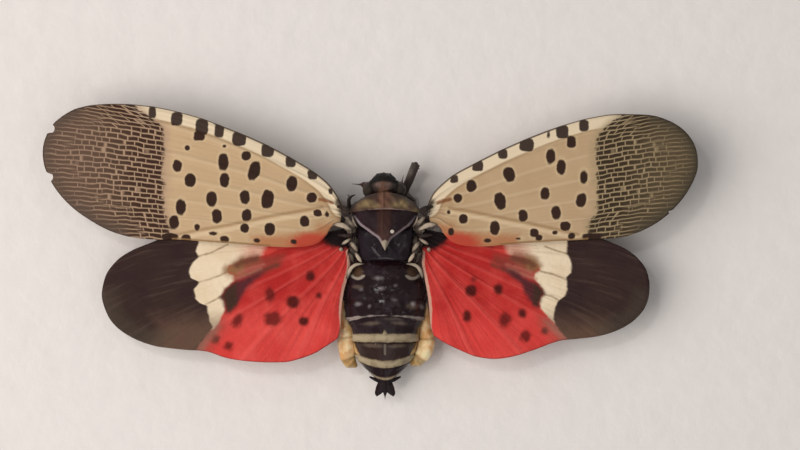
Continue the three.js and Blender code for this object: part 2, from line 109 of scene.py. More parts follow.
def inside_spots(x, y, spots, square=2.3):
    """How deep each place lies in the nearest spot, in millimetres, negative outside.

    A spot is x, y, half width, half height and the lean of its top to the right in degrees.
    Its edge is the superellipse |x/w|^n + |y/h|^n = 1.
    """
    best = np.full(x.shape, -9.0)
    for sx, sy, w, h, *lean in spots:
        a = math.radians(lean[0] if lean else 0)
        dx = (x - sx) * math.cos(a) - (y - sy) * math.sin(a)
        dy = (x - sx) * math.sin(a) + (y - sy) * math.cos(a)
        r = (np.abs(dx / w) ** square + np.abs(dy / h) ** square) ** (1 / square)
        best = np.maximum(best, (1 - r) * min(w, h))
    return best


def skin_over(rings):
    """Points and four-sided faces over an array of rings, each end closed at its middle."""
    count, sides, _ = rings.shape
    grid = np.arange(count * sides).reshape(count, sides)
    ahead = np.roll(grid, -1, axis=1)
    faces = [np.stack([grid[:-1], ahead[:-1], ahead[1:], grid[1:]], -1).reshape(-1, 4)]
    for end, hub in ((0, grid.size), (-1, grid.size + 1)):
        ring = grid[end]
        after = np.roll(ring, -1)[::2]
        beyond = np.roll(ring, -2)[::2]
        fan = np.stack([np.full(sides // 2, hub), ring[::2], after, beyond], -1)
        faces.append(fan if end else fan[:, ::-1])
    middles = rings[[0, -1]].mean(axis=1)
    return np.vstack([rings.reshape(-1, 3), middles]), np.vstack(faces)


def slab(top, under):
    """Points and faces of a closed sheet between two grids of places of the same shape."""
    rows, columns, _ = top.shape
    grid = np.arange(rows * columns).reshape(rows, columns)
    face = np.stack([grid[:-1, :-1], grid[:-1, 1:], grid[1:, 1:], grid[1:, :-1]], -1).reshape(-1, 4)
    edge = np.concatenate([grid[0, :-1], grid[:-1, -1], grid[-1, :0:-1], grid[:0:-1, 0]])
    turn = np.roll(edge, -1)
    wall = np.stack([edge, edge + grid.size, turn + grid.size, turn], -1)
    points = np.vstack([top.reshape(-1, 3), under.reshape(-1, 3)])
    return points, np.vstack([face, face[:, ::-1] + grid.size, wall])


def joined(shapes):
    """Several (points, faces) as one."""
    points, faces, count = [], [], 0
    for more_points, more_faces in shapes:
        points.append(more_points)
        faces.append(more_faces + count)
        count += len(more_points)
    return np.vstack(points), np.vstack(faces)


def outwards(points, faces):
    """The faces, all turned round if the volume that they enclose comes out negative."""
    a, b, c, d = (points[faces[:, k]] for k in range(4))
    volume = np.einsum("ij,ij->", a, np.cross(b, c)) + np.einsum("ij,ij->", a, np.cross(c, d))
    return faces if volume > 0 else faces[:, ::-1]


def tube(path, radii, sides=16, steps=40, flat=1.0, bumps=None):
    """A round bar: circles carried along a smooth path, with radii at equal shares of it.

    flat is its height beside its width, and nothing of it goes below the floor. bumps gives the
    radius a factor at each share of the path and turn of the circle.
    """
    u = np.linspace(0, 1, steps)
    centre = smooth_path(path, u)
    ahead = np.gradient(centre, axis=0)
    ahead /= np.linalg.norm(ahead, axis=1, keepdims=True) + 1e-12
    side = np.stack([-ahead[:, 1], ahead[:, 0], 0 * u], -1)
    upright = np.linalg.norm(side, axis=1) < 0.1
    side[upright] = [1, 0, 0]
    side /= np.linalg.norm(side, axis=1, keepdims=True)
    up = np.cross(ahead, side)
    turn = np.arange(sides) / sides * 2 * math.pi
    radius = np.interp(u, np.linspace(0, 1, len(radii)), radii)[:, None]
    if bumps:
        radius = radius * bumps(u[:, None], turn[None])
    across = (radius * np.cos(turn))[..., None] * side[:, None]
    rise = (radius * np.sin(turn) * flat)[..., None] * up[:, None]
    rings = centre[:, None] + across + rise
    rings[..., 2] = np.maximum(rings[..., 2], 0)
    return skin_over(rings)


def egg(at, size, tilt=0.0, sides=64, rows=40, relief=None):
    """An ellipsoid with its poles front and back, leaned about X by tilt radians.

    relief gives a height in millimetres to add along the ray at each unit direction.
    """
    lie = np.linspace(0.02, math.pi - 0.02, rows)[:, None]
    turn = (np.arange(sides) / sides * 2 * math.pi)[None]
    ray = np.stack([np.sin(lie) * np.cos(turn), np.cos(lie) + 0 * turn, np.sin(lie) * np.sin(turn)], -1)
    grown = np.asarray(size) + (relief(ray)[..., None] if relief else 0)
    x, y, z = np.moveaxis(ray * grown, -1, 0)
    c, s = math.cos(tilt), math.sin(tilt)
    rings = np.stack([x, y * c - z * s, y * s + z * c], -1) + at
    return skin_over(rings)


def piece(name, shape, material, nodes, values=None):
    """A smooth mesh at the origin from (points, faces) in millimetres, riding the one body.

    values are numbers for each point that the material reads by name.
    """
    points, faces = shape
    faces = outwards(points, faces)
    mesh = bpy.data.meshes.new(name)
    mesh.vertices.add(len(points))
    mesh.vertices.foreach_set("co", (points * MM).astype(np.float32).ravel())
    mesh.loops.add(faces.size)
    mesh.loops.foreach_set("vertex_index", faces.astype(np.int32).ravel())
    mesh.polygons.add(len(faces))
    mesh.polygons.foreach_set("loop_start", np.arange(0, faces.size, 4, dtype=np.int32))
    mesh.update(calc_edges=True)
    mesh.shade_smooth()
    for key, numbers in (values or {}).items():
        layer = mesh.attributes.new(key, "FLOAT", "POINT")
        layer.data.foreach_set("value", np.asarray(numbers, np.float32).ravel())
    mesh.materials.append(material)
    thing = bpy.data.objects.new(name, mesh)
    bpy.context.scene.collection.objects.link(thing)
    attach(thing, "root")
    if nodes:
        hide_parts(*nodes)
    return thing


# Finishes


def colour(code):
    """Linear colour of an sRGB hex value."""
    parts = [int(code[k : k + 2], 16) / 255 for k in (1, 3, 5)]
    return (*(c / 12.92 if c <= 0.04045 else ((c + 0.055) / 1.055) ** 2.4 for c in parts), 1)


def add(tree, kind, sockets=(), **settings):
    """Adds a node. sockets pairs an input's name or number with a value or with an output."""
    made = tree.nodes.new(kind)
    for key, value in settings.items():
        setattr(made, key, value)
    for socket, value in dict(sockets).items():
        if isinstance(value, bpy.types.NodeSocket):
            tree.links.new(value, made.inputs[socket])
        else:
            made.inputs[socket].default_value = value
    return made


def finish(name, roughness, **constants):
    """A new material, its node tree, its shader and its Object coordinates in millimetres."""
    material = bpy.data.materials.new(name)
    material.use_nodes = True
    tree = material.node_tree
    shader = tree.nodes["Principled BSDF"]
    shader.inputs["Roughness"].default_value = roughness
    for key, value in constants.items():
        shader.inputs[key.replace("_", " ")].default_value = value
    place = add(tree, "ShaderNodeTexCoord").outputs["Object"]
    sized = add(tree, "ShaderNodeVectorMath", {0: place, "Scale": 1 / MM}, operation="SCALE")
    return material, tree, shader, sized.outputs[0]


def marking(tree, where, name, soft, wobble=0.0, grain=3.0, deep=0.0):
    """How much of a marking shows: 0 outside and 1 inside, across a soft edge.

    name is the depth inside the marking in millimetres. Its edge lies at the depth deep, and
    wobble frays it with noise of the given grain.
    """
    depth = add(tree, "ShaderNodeAttribute", attribute_name=name).outputs["Fac"]
    if wobble:
        noise = add(tree, "ShaderNodeTexNoise", {"Vector": where, "Scale": grain, "Detail": 3})
        sway = add(
            tree, "ShaderNodeMath",
            {0: noise.outputs["Fac"], 1: wobble * 2, 2: -wobble}, operation="MULTIPLY_ADD",
        )
        depth = add(tree, "ShaderNodeMath", {0: depth, 1: sway.outputs[0]}).outputs[0]
    ramp = {"Value": depth, "From Min": deep - soft, "From Max": deep + soft}
    return add(tree, "ShaderNodeMapRange", ramp, interpolation_type="SMOOTHSTEP").outputs["Result"]


def paint(tree, shader, where, ground, coats):
    """Gives the shader the ground colour under coats laid over it in turn.

    A coat is a colour and the factors whose product is how much of it shows. A factor is a
    number, an output, or the values of a marking in brackets.
    """
    shade = colour(ground)
    for tint, *factors in coats:
        share, *others = (
            marking(tree, where, *factor) if isinstance(factor, tuple) else factor
            for factor in factors
        )
        for other in others:
            share = add(tree, "ShaderNodeMath", {0: share, 1: other}, operation="MULTIPLY").outputs[0]
        sockets = {0: share, 6: shade, 7: colour(tint)}
        shade = add(tree, "ShaderNodeMix", sockets, data_type="RGBA").outputs[2]
    tree.links.new(shade, shader.inputs["Base Color"])


def relief(tree, shader, heights):
    """Joins (height, millimetres) pairs into the shader's bump, the last on top."""
    normal = None
    for height, millimetres in heights:
        sockets = {"Height": height, "Distance": millimetres * MM}
        if normal:
            sockets["Normal"] = normal
        normal = add(tree, "ShaderNodeBump", sockets).outputs["Normal"]
    tree.links.new(normal, shader.inputs["Normal"])


# Wings: edges from the hinge outwards, and the margin from the leading round to the trailing edge

FOREWING_LEFT = {
    "leading": [
        (-2.98, 2.45), (-3.3, 3.05), (-3.95, 3.95), (-5.0, 4.8), (-6.25, 5.57), (-7.8, 6.42),
        (-9.45, 7.2), (-12.36, 8.35), (-14.0, 8.85), (-15.75, 9.26), (-17.5, 9.48),
        (-19.14, 9.53), (-20.5, 9.45), (-21.3, 9.29), (-21.75, 9.16),
    ],
    "margin": [
        (-21.75, 9.16), (-22.3, 8.87), (-22.85, 8.48), (-23.35, 8.0), (-23.68, 7.4),
        (-23.9, 6.75), (-23.97, 6.1), (-23.9, 5.4), (-23.72, 4.8), (-23.4, 4.12),
        (-22.95, 3.42), (-22.35, 2.72), (-21.7, 2.12), (-20.9, 1.55), (-20.0, 1.0),
        (-19.3, 0.66), (-18.78, 0.46),
    ],
    "trailing": [
        (-3.12, 1.22), (-3.7, 0.95), (-4.1, 0.35), (-4.7, -0.2), (-5.6, -0.45), (-6.8, -0.5),
        (-8.4, -0.42), (-10.5, -0.25), (-12.6, -0.11), (-14.4, 0.03), (-16.0, 0.03),
        (-17.3, 0.13), (-18.1, 0.27), (-18.78, 0.46),
    ],
}
FOREWING_RIGHT = {
    "leading": [
        (2.98, 2.45), (3.2, 3.0), (3.65, 3.61), (4.7, 4.5), (5.98, 5.22), (8.4, 6.43),
        (11.2, 7.6), (13.54, 8.35), (14.9, 8.65), (16.0, 8.8), (17.4, 8.8), (18.4, 8.76),
        (19.04, 8.66),
    ],
    "margin": [
        (19.04, 8.66), (19.6, 8.47), (20.2, 8.2), (20.76, 7.83), (21.2, 7.4), (21.6, 6.8),
        (21.83, 6.15), (21.9, 5.45), (21.82, 4.75), (21.5, 3.95), (21.01, 3.14), (20.5, 2.5),
        (19.81, 1.79), (19.1, 1.25), (18.5, 0.9), (17.95, 0.62),
    ],
    "trailing": [
        (3.14, 1.3), (3.8, 0.95), (4.15, 0.4), (4.75, -0.15), (5.6, -0.4), (6.8, -0.45),
        (8.05, -0.36), (9.9, -0.2), (12.1, -0.07), (14.0, 0.03), (15.89, 0.12), (16.8, 0.25),
        (17.4, 0.42), (17.95, 0.62),
    ],
}
HINDWING_LEFT = {
    "leading": [
        (-2.66, 0.88), (-4.2, 0.56), (-7.35, 0.25), (-10.85, 0.3), (-13.3, 0.45),
        (-15.0, 0.35), (-15.9, 0.02), (-16.4, -0.18), (-16.82, -0.34),
    ],
    "margin": [
        (-16.82, -0.34), (-17.7, -0.7), (-18.56, -1.22), (-19.15, -1.8), (-19.6, -2.5),
        (-19.87, -3.6), (-19.8, -4.4), (-19.4, -5.4), (-18.85, -6.1), (-18.1, -6.65),
        (-17.2, -7.1), (-16.1, -7.45), (-15.0, -7.6), (-13.9, -7.71), (-13.0, -7.76),
        (-12.3, -7.87), (-11.2, -8.25), (-10.1, -8.45), (-8.78, -8.56), (-7.6, -8.58),
        (-6.59, -8.5), (-5.11, -8.02), (-4.2, -7.5), (-3.3, -6.9),
    ],
    "trailing": [
        (-2.55, -0.84), (-2.45, -1.7), (-2.62, -2.6), (-2.9, -3.7), (-3.05, -5.0),
        (-3.1, -6.0), (-3.3, -6.9),
    ],
}
HINDWING_RIGHT = {
    "leading": [
        (2.66, 0.84), (4.2, 0.49), (7.35, 0.21), (10.85, 0.28), (12.95, 0.45),
        (14.3, 0.4), (15.1, 0.12), (15.5, -0.02), (15.89, -0.18),
    ],
    "margin": [
        (15.89, -0.18), (16.6, -0.48), (17.3, -0.9), (17.9, -1.45), (18.35, -2.15),
        (18.55, -3.0), (18.53, -3.8), (18.35, -4.5), (18.0, -5.1), (17.4, -5.7),
        (16.7, -6.15), (15.8, -6.53), (14.8, -6.78), (13.6, -6.92), (12.4, -7.04),
        (11.6, -7.27), (10.6, -7.65), (9.4, -8.05), (8.5, -8.26), (7.56, -8.34),
        (6.6, -8.22), (6.0, -8.05), (4.77, -7.5), (4.0, -7.1), (3.4, -6.7),
    ],
    "trailing": [
        (2.6, -0.91), (2.6, -1.8), (2.8, -2.8), (3.0, -3.9), (3.12, -5.0), (3.2, -6.0),
        (3.4, -6.7),
    ],
}
# Veins as shares of the way from the front edge to the rear edge
FOREWING_VEINS = (0.13, 0.3, 0.46, 0.62, 0.78)
HINDWING_VEINS = (0.05, 0.16, 0.28, 0.4, 0.54, 0.7, 0.86)
FOREWING_LEVEL = 3.7
WING_STEP = 0.84  # how far the hindwings lie below the forewings
WING_DROOP = 0.9  # how far a wing would hang at WING_REACH
WING_REACH = 24.0
ARCH_HEIGHT = 0.25
PLEAT_HEIGHT = 0.07
FORE_WIDTH = 8.5  # about how wide each wing is from front to rear
HIND_WIDTH = 8.0
MEMBRANE = 0.24  # thickness that shows
THIN_RIM = 0.35  # the width over which it thins to the edge
VEIN_WIDTH = 0.11
FORE_VEIN_HEIGHT = 0.09
HIND_VEIN_HEIGHT = 0.07
RIBS = 27
RIB_HEIGHT = 0.012
STATIONS = 300  # from hinge to margin
LINES = 132  # from front to rear
# The network of the forewing's tip: cells along rows, each row pushed along and swayed by noise
CELL_LENGTH = 0.66
CELL_PUSH = 1.7
ROW_PITCH = 0.34
OUTER_PITCH = 0.285
ROW_SWAY = 0.22
STRIPE_WIDTH = 0.86  # of the pale stripe along the front edge

# Spots as x, y, half width, half height and lean. Those of the front stripe are nearly square.
FRONT_SPOTS_LEFT = [
    (-16.28, 8.94, 0.25, 0.39), (-14.58, 8.46, 0.40, 0.47), (-12.80, 7.91, 0.44, 0.56),
    (-12.99, 7.28, 0.39, 0.32), (-11.58, 7.63, 0.32, 0.46), (-10.19, 7.10, 0.47, 0.51),
    (-8.20, 6.25, 0.44, 0.47), (-6.61, 5.49, 0.36, 0.40), (-5.08, 4.55, 0.32, 0.34),
    (-3.81, 3.43, 0.13, 0.19),
]
SPOTS_LEFT = [
    (-13.82, 6.44, 0.19, 0.17), (-14.52, 5.18, 0.32, 0.42), (-13.60, 4.17, 0.39, 0.47),
    (-14.27, 2.31, 0.34, 0.55), (-14.75, 1.25, 0.36, 0.49), (-13.14, 0.88, 0.18, 0.23),
    (-13.90, 0.14, 0.32, 0.26), (-12.11, 2.87, 0.35, 0.55), (-11.76, 1.67, 0.34, 0.51),
    (-11.98, 0.46, 0.28, 0.13), (-11.20, 0.06, 0.32, 0.23), (-11.21, 6.56, 0.14, 0.11),
    (-11.30, 5.46, 0.36, 0.60), (-11.21, 4.19, 0.34, 0.49), (-9.71, 5.89, 0.34, 0.32),
    (-9.14, 4.85, 0.40, 0.68, 15), (-9.79, 3.01, 0.34, 0.49), (-9.66, 1.73, 0.34, 0.42),
    (-9.81, 0.82, 0.30, 0.32), (-8.20, 2.86, 0.44, 0.66, 10), (-8.05, 0.77, 0.38, 0.44),
    (-8.97, -0.03, 0.23, 0.17), (-6.51, 3.96, 0.38, 0.55, 10), (-5.12, 2.97, 0.36, 0.34),
    (-4.70, 1.89, 0.28, 0.25), (-4.05, 1.82, 0.13, 0.21), (-5.61, 1.31, 0.33, 0.39),
    (-6.37, -0.11, 0.23, 0.17), (-15.05, 0.18, 0.56, 0.32),
]
FRONT_SPOTS_RIGHT = [
    (4.84, 4.27, 0.26, 0.26), (6.48, 5.18, 0.38, 0.38), (8.22, 6.02, 0.32, 0.32),
    (9.91, 6.65, 0.50, 0.46), (11.43, 7.41, 0.11, 0.24), (12.39, 7.56, 0.44, 0.46),
    (13.92, 8.02, 0.34, 0.42), (13.04, 6.86, 0.32, 0.40),
]
SPOTS_RIGHT = [
    (6.05, 3.78, 0.36, 0.42), (5.09, 2.91, 0.30, 0.32), (4.45, 1.93, 0.15, 0.16),
    (5.49, 1.48, 0.32, 0.32), (4.63, 0.60, 0.20, 0.26), (8.68, 4.59, 0.40, 0.54, -15),
    (8.04, 2.73, 0.40, 0.58, -12), (7.67, 0.84, 0.34, 0.48), (7.14, -0.04, 0.26, 0.14),
    (9.64, 1.70, 0.32, 0.42), (10.43, 0.48, 0.30, 0.30), (10.77, 0.15, 0.24, 0.20),
    (9.28, 0.10, 0.14, 0.06), (11.17, 3.25, 0.32, 0.44), (11.57, 5.85, 0.32, 0.52),
    (12.32, 5.10, 0.32, 0.52), (11.96, 1.89, 0.33, 0.48, -8), (12.61, 0.98, 0.37, 0.34),
    (11.91, 0.52, 0.19, 0.13), (13.06, 0.28, 0.25, 0.22), (13.90, 4.41, 0.29, 0.46),
    (13.72, 2.80, 0.34, 0.50, 8), (14.49, 0.21, 0.70, 0.28),
]
HIND_SPOTS_LEFT = [
    (-5.22, -2.54, 0.3, 0.33), (-6.45, -4.34, 0.46, 0.42), (-4.65, -3.89, 0.19, 0.2),
    (-5.69, -5.71, 0.33, 0.33),
]
HIND_FAINT_LEFT = [
    (-8.05, -3.85, 0.34, 0.46, -12), (-7.85, -5.5, 0.6, 0.5, -20), (-10.35, -5.68, 0.3, 0.48, 32),
    (-10.96, -7.45, 0.34, 0.28), (-11.85, -6.95, 0.25, 0.3),
]
HIND_SPOTS_RIGHT = [
    (6.05, -3.54, 0.39, 0.42), (7.95, -3.45, 0.3, 0.38, -12), (5.76, -5.34, 0.28, 0.39),
    (9.62, -5.14, 0.27, 0.33),
]
HIND_FAINT_RIGHT = [
    (6.16, -2.73, 0.2, 0.16), (8.4, -5.62, 0.38, 0.5, 20), (9.85, -6.74, 0.35, 0.4, 15),
    (11.19, -6.37, 0.25, 0.23),
]
# Where the network of the forewing's outer third begins, from the front down
NETWORK_LEFT = [(-17.6, 9.4), (-16.3, 8.5), (-15.5, 7.9), (-15.5, 2.3), (-15.2, 1.3), (-14.9, 0)]
NETWORK_RIGHT = [(16.5, 8.7), (15.5, 8.0), (14.9, 7.3), (14.8, 7), (14.9, 2), (14.3, 1.3), (14.2, 0)]
# How the rows of the network lean, as make_forewing says
ROW_LEAN_LEFT = (0.08, 0.018, 0.0075)
ROW_LEAN_RIGHT = (0.16, 0.008, 0.011)
# Torn nicks of the margin as x, y, depth and half width
NICKS_LEFT = [(-23.5, 7.8, 0.62, 0.25), (-23.6, 4.42, 0.62, 0.25)]
NICKS_RIGHT = [(20.0, 2.02, 0.2, 0.12)]
# The fold that sets off the rear field of the forewing, in colour only: a dark line of painted shade
# along it and a pale line of painted highlight just behind it
FOLD_LEFT = [(-4.4, 2.3), (-6.0, 2.02), (-8.0, 1.68), (-10.7, 1.1), (-13.0, 0.7), (-14.9, 0.3)]
FOLD_RIGHT = [(4.5, 2.25), (6.0, 2.0), (8.0, 1.6), (10.0, 1.2), (11.8, 0.8), (13.5, 0.4)]
# The scalloped inner edge of the hindwing's black outer half, with a notch at each vein
DARK_LEFT = [
    (-13.05, 0.6), (-13.1, -0.35), (-13.28, -0.8), (-13.05, -1.12), (-13.1, -1.25),
    (-13.5, -1.6), (-13.75, -2.2), (-13.66, -2.62), (-13.1, -2.92), (-13.1, -3.1),
    (-13.42, -3.5), (-13.32, -4.1), (-12.95, -4.45), (-12.5, -4.6), (-12.4, -5.1),
    (-12.3, -5.7), (-12.1, -6.1), (-12.5, -6.7), (-13.0, -7.25), (-13.3, -7.9),
]
DARK_RIGHT = [
    (12.8, 0.6), (12.78, -0.4), (12.72, -0.9), (12.95, -1.25), (13.08, -1.7), (13.05, -2.3),
    (12.7, -2.6), (12.72, -2.9), (12.8, -3.4), (12.64, -3.95), (12.15, -4.25), (11.95, -4.7),
    (11.86, -5.2), (11.8, -5.6), (12.0, -6.0), (12.3, -6.4), (12.7, -6.8), (12.9, -7.4),
]
# Closed outlines of the cream band, of the dark wedge behind it and of the smoky patch beside it
CREAM_LEFT = [
    (-14.2, 0.9), (-6.9, 0.9), (-7.6, -0.75), (-8.5, -1.1), (-9.2, -1.2), (-9.85, -1.3),
    (-10.2, -1.4), (-10.5, -1.7), (-10.9, -1.8), (-11.1, -2.1), (-10.95, -2.32),
    (-10.6, -2.5), (-10.6, -2.9), (-10.95, -3.2), (-11.25, -3.5), (-11.5, -3.92),
    (-11.35, -4.2), (-11.22, -4.55), (-11.25, -4.95), (-11.45, -5.35), (-11.7, -5.8),
    (-11.98, -6.25), (-12.4, -6.3), (-13.65, -4.8), (-14.35, -2.1),
]
CREAM_RIGHT = [
    (6.9, 0.9), (13.6, 0.9), (13.7, -2.1), (13.0, -4.2), (12.3, -5.6), (11.9, -5.85),
    (11.55, -5.5), (11.2, -5.1), (10.95, -4.8), (10.84, -4.4), (10.92, -4.05),
    (11.16, -3.85), (11.05, -3.4), (10.7, -3.0), (10.48, -2.7), (10.5, -2.35),
    (10.9, -2.15), (10.75, -1.75), (10.2, -1.35), (9.7, -1.2), (8.6, -1.0), (7.7, -0.7),
]
WEDGE_LEFT = [
    (-11.5, -4.0), (-11.2, -3.5), (-10.8, -3.18), (-10.2, -2.85), (-9.6, -2.56),
    (-9.0, -2.34), (-8.3, -2.05), (-7.45, -1.75), (-8.0, -2.15), (-8.6, -2.5), (-9.2, -2.92),
    (-9.7, -3.4), (-10.0, -4.0), (-10.4, -4.6), (-10.85, -5.05), (-11.15, -5.1),
    (-11.22, -4.6), (-11.3, -4.2),
]
WEDGE_RIGHT = [
    (7.5, -1.5), (8.0, -1.58), (8.6, -1.95), (9.3, -2.3), (10.0, -2.75), (10.6, -3.05),
    (11.0, -3.45), (11.18, -3.78), (10.92, -4.0), (10.8, -4.4), (10.78, -4.72), (10.4, -4.6),
    (10.0, -4.1), (9.8, -3.7), (9.5, -3.1), (9.0, -2.7), (8.3, -2.2), (7.8, -1.82),
]
SMOKE_LEFT = [
    (-11.1, -2.15), (-10.7, -1.86), (-10.3, -1.62), (-10.0, -1.4), (-9.5, -1.22),
    (-9.3, -1.18), (-9.0, -1.2), (-8.95, -1.5), (-9.3, -1.75), (-9.8, -1.98), (-10.4, -2.25),
]
SMOKE_RIGHT = [
    (9.1, -0.95), (9.5, -1.0), (10.0, -1.2), (10.6, -1.5), (10.75, -1.8), (10.5, -2.02),
    (10.1, -1.97), (9.6, -1.75), (9.2, -1.45), (9.0, -1.2),
]
# Dull red between the smoky streak and the wedge
BETWEEN_LEFT = [(-10.6, -2.55), (-10.3, -1.9), (-8.6, -1.15), (-7.0, -1.0), (-7.4, -1.9), (-9.0, -2.45)]
BETWEEN_RIGHT = [(10.5, -2.7), (10.2, -1.8), (9.0, -1.0), (7.6, -0.95), (7.5, -1.7), (8.9, -2.3)]
# Thin veins between the cream lobes
CREAM_VEINS_LEFT = [
    [(-13.2, -1.17), (-12.2, -0.9), (-11.5, -0.55), (-11.0, -0.3)],
    [(-13.2, -2.98), (-12.3, -2.75), (-11.6, -2.5), (-10.95, -2.2)],
    [(-12.7, -4.58), (-12.1, -4.3), (-11.5, -3.95)],
]
CREAM_VEINS_RIGHT = [
    [(11.2, -0.45), (12.0, -0.75), (12.85, -0.98)],
    [(10.9, -2.2), (11.8, -2.4), (12.7, -2.78)],
    [(11.1, -3.82), (11.7, -3.95), (12.2, -4.25)],
]


def wing_plan(edges, s, t):
    """Plan places on a wing, for shares s from hinge to margin and t from front to rear.

    The patch of four edges: the front and rear edges mixed by t, plus the hinge and the margin
    mixed by s, less the mix of the four corners.
    """
    front = smooth_path(edges["leading"], s)[:, None]
    rear = smooth_path(edges["trailing"], s)[:, None]
    outer = smooth_path(edges["margin"], t)[None]
    s, t = s[:, None, None], t[None, :, None]
    a, b, c, d = front[0], front[-1], rear[0], rear[-1]
    hinge = a * (1 - t) + c * t
    corners = (1 - s) * (1 - t) * a + s * (1 - t) * b + (1 - s) * t * c + s * t * d
    return (1 - t) * front + t * rear + (1 - s) * hinge + s * outer - corners


def wing(edges, veins, drop, width, wave, vein_height, nicks=()):
    """A wing's closed membrane and what its markings need: plan places, (s, t) shares and veins.

    The middle level falls as the square of the reach and follows wave(s, t). Each vein is a
    rounded ridge along one t, and fine ribs stand between them. A nick draws the edge inwards by
    its depth times e^-(distance / half width)^4.
    """
    s = np.linspace(0, 1, STATIONS)
    t = np.linspace(0, 1, LINES)
    plan = wing_plan(edges, s, t)
    for nx, ny, depth, half in nicks:
        near = np.exp(-(((plan[..., 0] - nx) ** 2 + (plan[..., 1] - ny) ** 2) / half**2) ** 2)
        inwards = -np.array([nx, ny - 2]) / math.hypot(nx, ny - 2)
        plan = plan + near[..., None] * inwards * depth
    x, y = plan[..., 0], plan[..., 1]
    s, t = np.broadcast_arrays(s[:, None], t[None])
    middle = FOREWING_LEVEL - drop - WING_DROOP * (np.abs(x) / WING_REACH) ** 2 + wave(s, t)
    ridge = sum(bell((t - v) * width * (0.35 + 0.65 * s), VEIN_WIDTH) for v in veins)
    rim = np.minimum.reduce([s * 20, (1 - s) * 20, t * width, (1 - t) * width])
    half = MEMBRANE / 2 * (0.45 + 0.55 * step(0, THIN_RIM, rim))
    height = vein_height * ridge * (1 - 0.55 * s)
    ribs = RIB_HEIGHT * np.cos(t * 2 * math.pi * RIBS) * step(0.3, 0.6, s)
    top = np.stack([x, y, middle + half + height + ribs], -1)
    under = np.stack([x, y, middle - half - 0.4 * height], -1)
    return slab(top, under), x, y, s, t, ridge


def from_edges(x, y, edges):
    """The distances of each place from the leading edge, the margin and the trailing edge."""
    share = np.linspace(0, 1, 90)
    paths = (smooth_path(edges[key], share) for key in ("leading", "margin", "trailing"))
    return [line_distance(x, y, path) for path in paths]


def both_faces(values):
    """Numbers for the upper grid of a slab repeated for the lower one."""
    grids = np.broadcast_arrays(*values.values())
    return {key: np.tile(grid.ravel(), 2) for key, grid in zip(values, grids)}


def ringed(values):
    """Numbers for a grid of rings, with the mean of the first and of the last ring for the ends."""
    grids = np.broadcast_arrays(*values.values())
    return {key: np.append(g.ravel(), [g[0].mean(), g[-1].mean()]) for key, g in zip(values, grids)}


def long_grain(tree, crowding, detail):
    """The along attribute, and noise drawn out along the veins: narrow beside its length."""
    along, share = (
        add(tree, "ShaderNodeAttribute", attribute_name=key).outputs["Fac"]
        for key in ("along", "share")
    )
    grain = add(tree, "ShaderNodeCombineXYZ", {"X": along, "Y": share}).outputs[0]
    drawn = add(tree, "ShaderNodeVectorMath", {0: grain, 1: (0.35, crowding, 1)}, operation="MULTIPLY")
    streak = add(tree, "ShaderNodeTexNoise", {"Vector": drawn.outputs[0], "Scale": 1, "Detail": detail})
    return along, streak.outputs["Fac"]


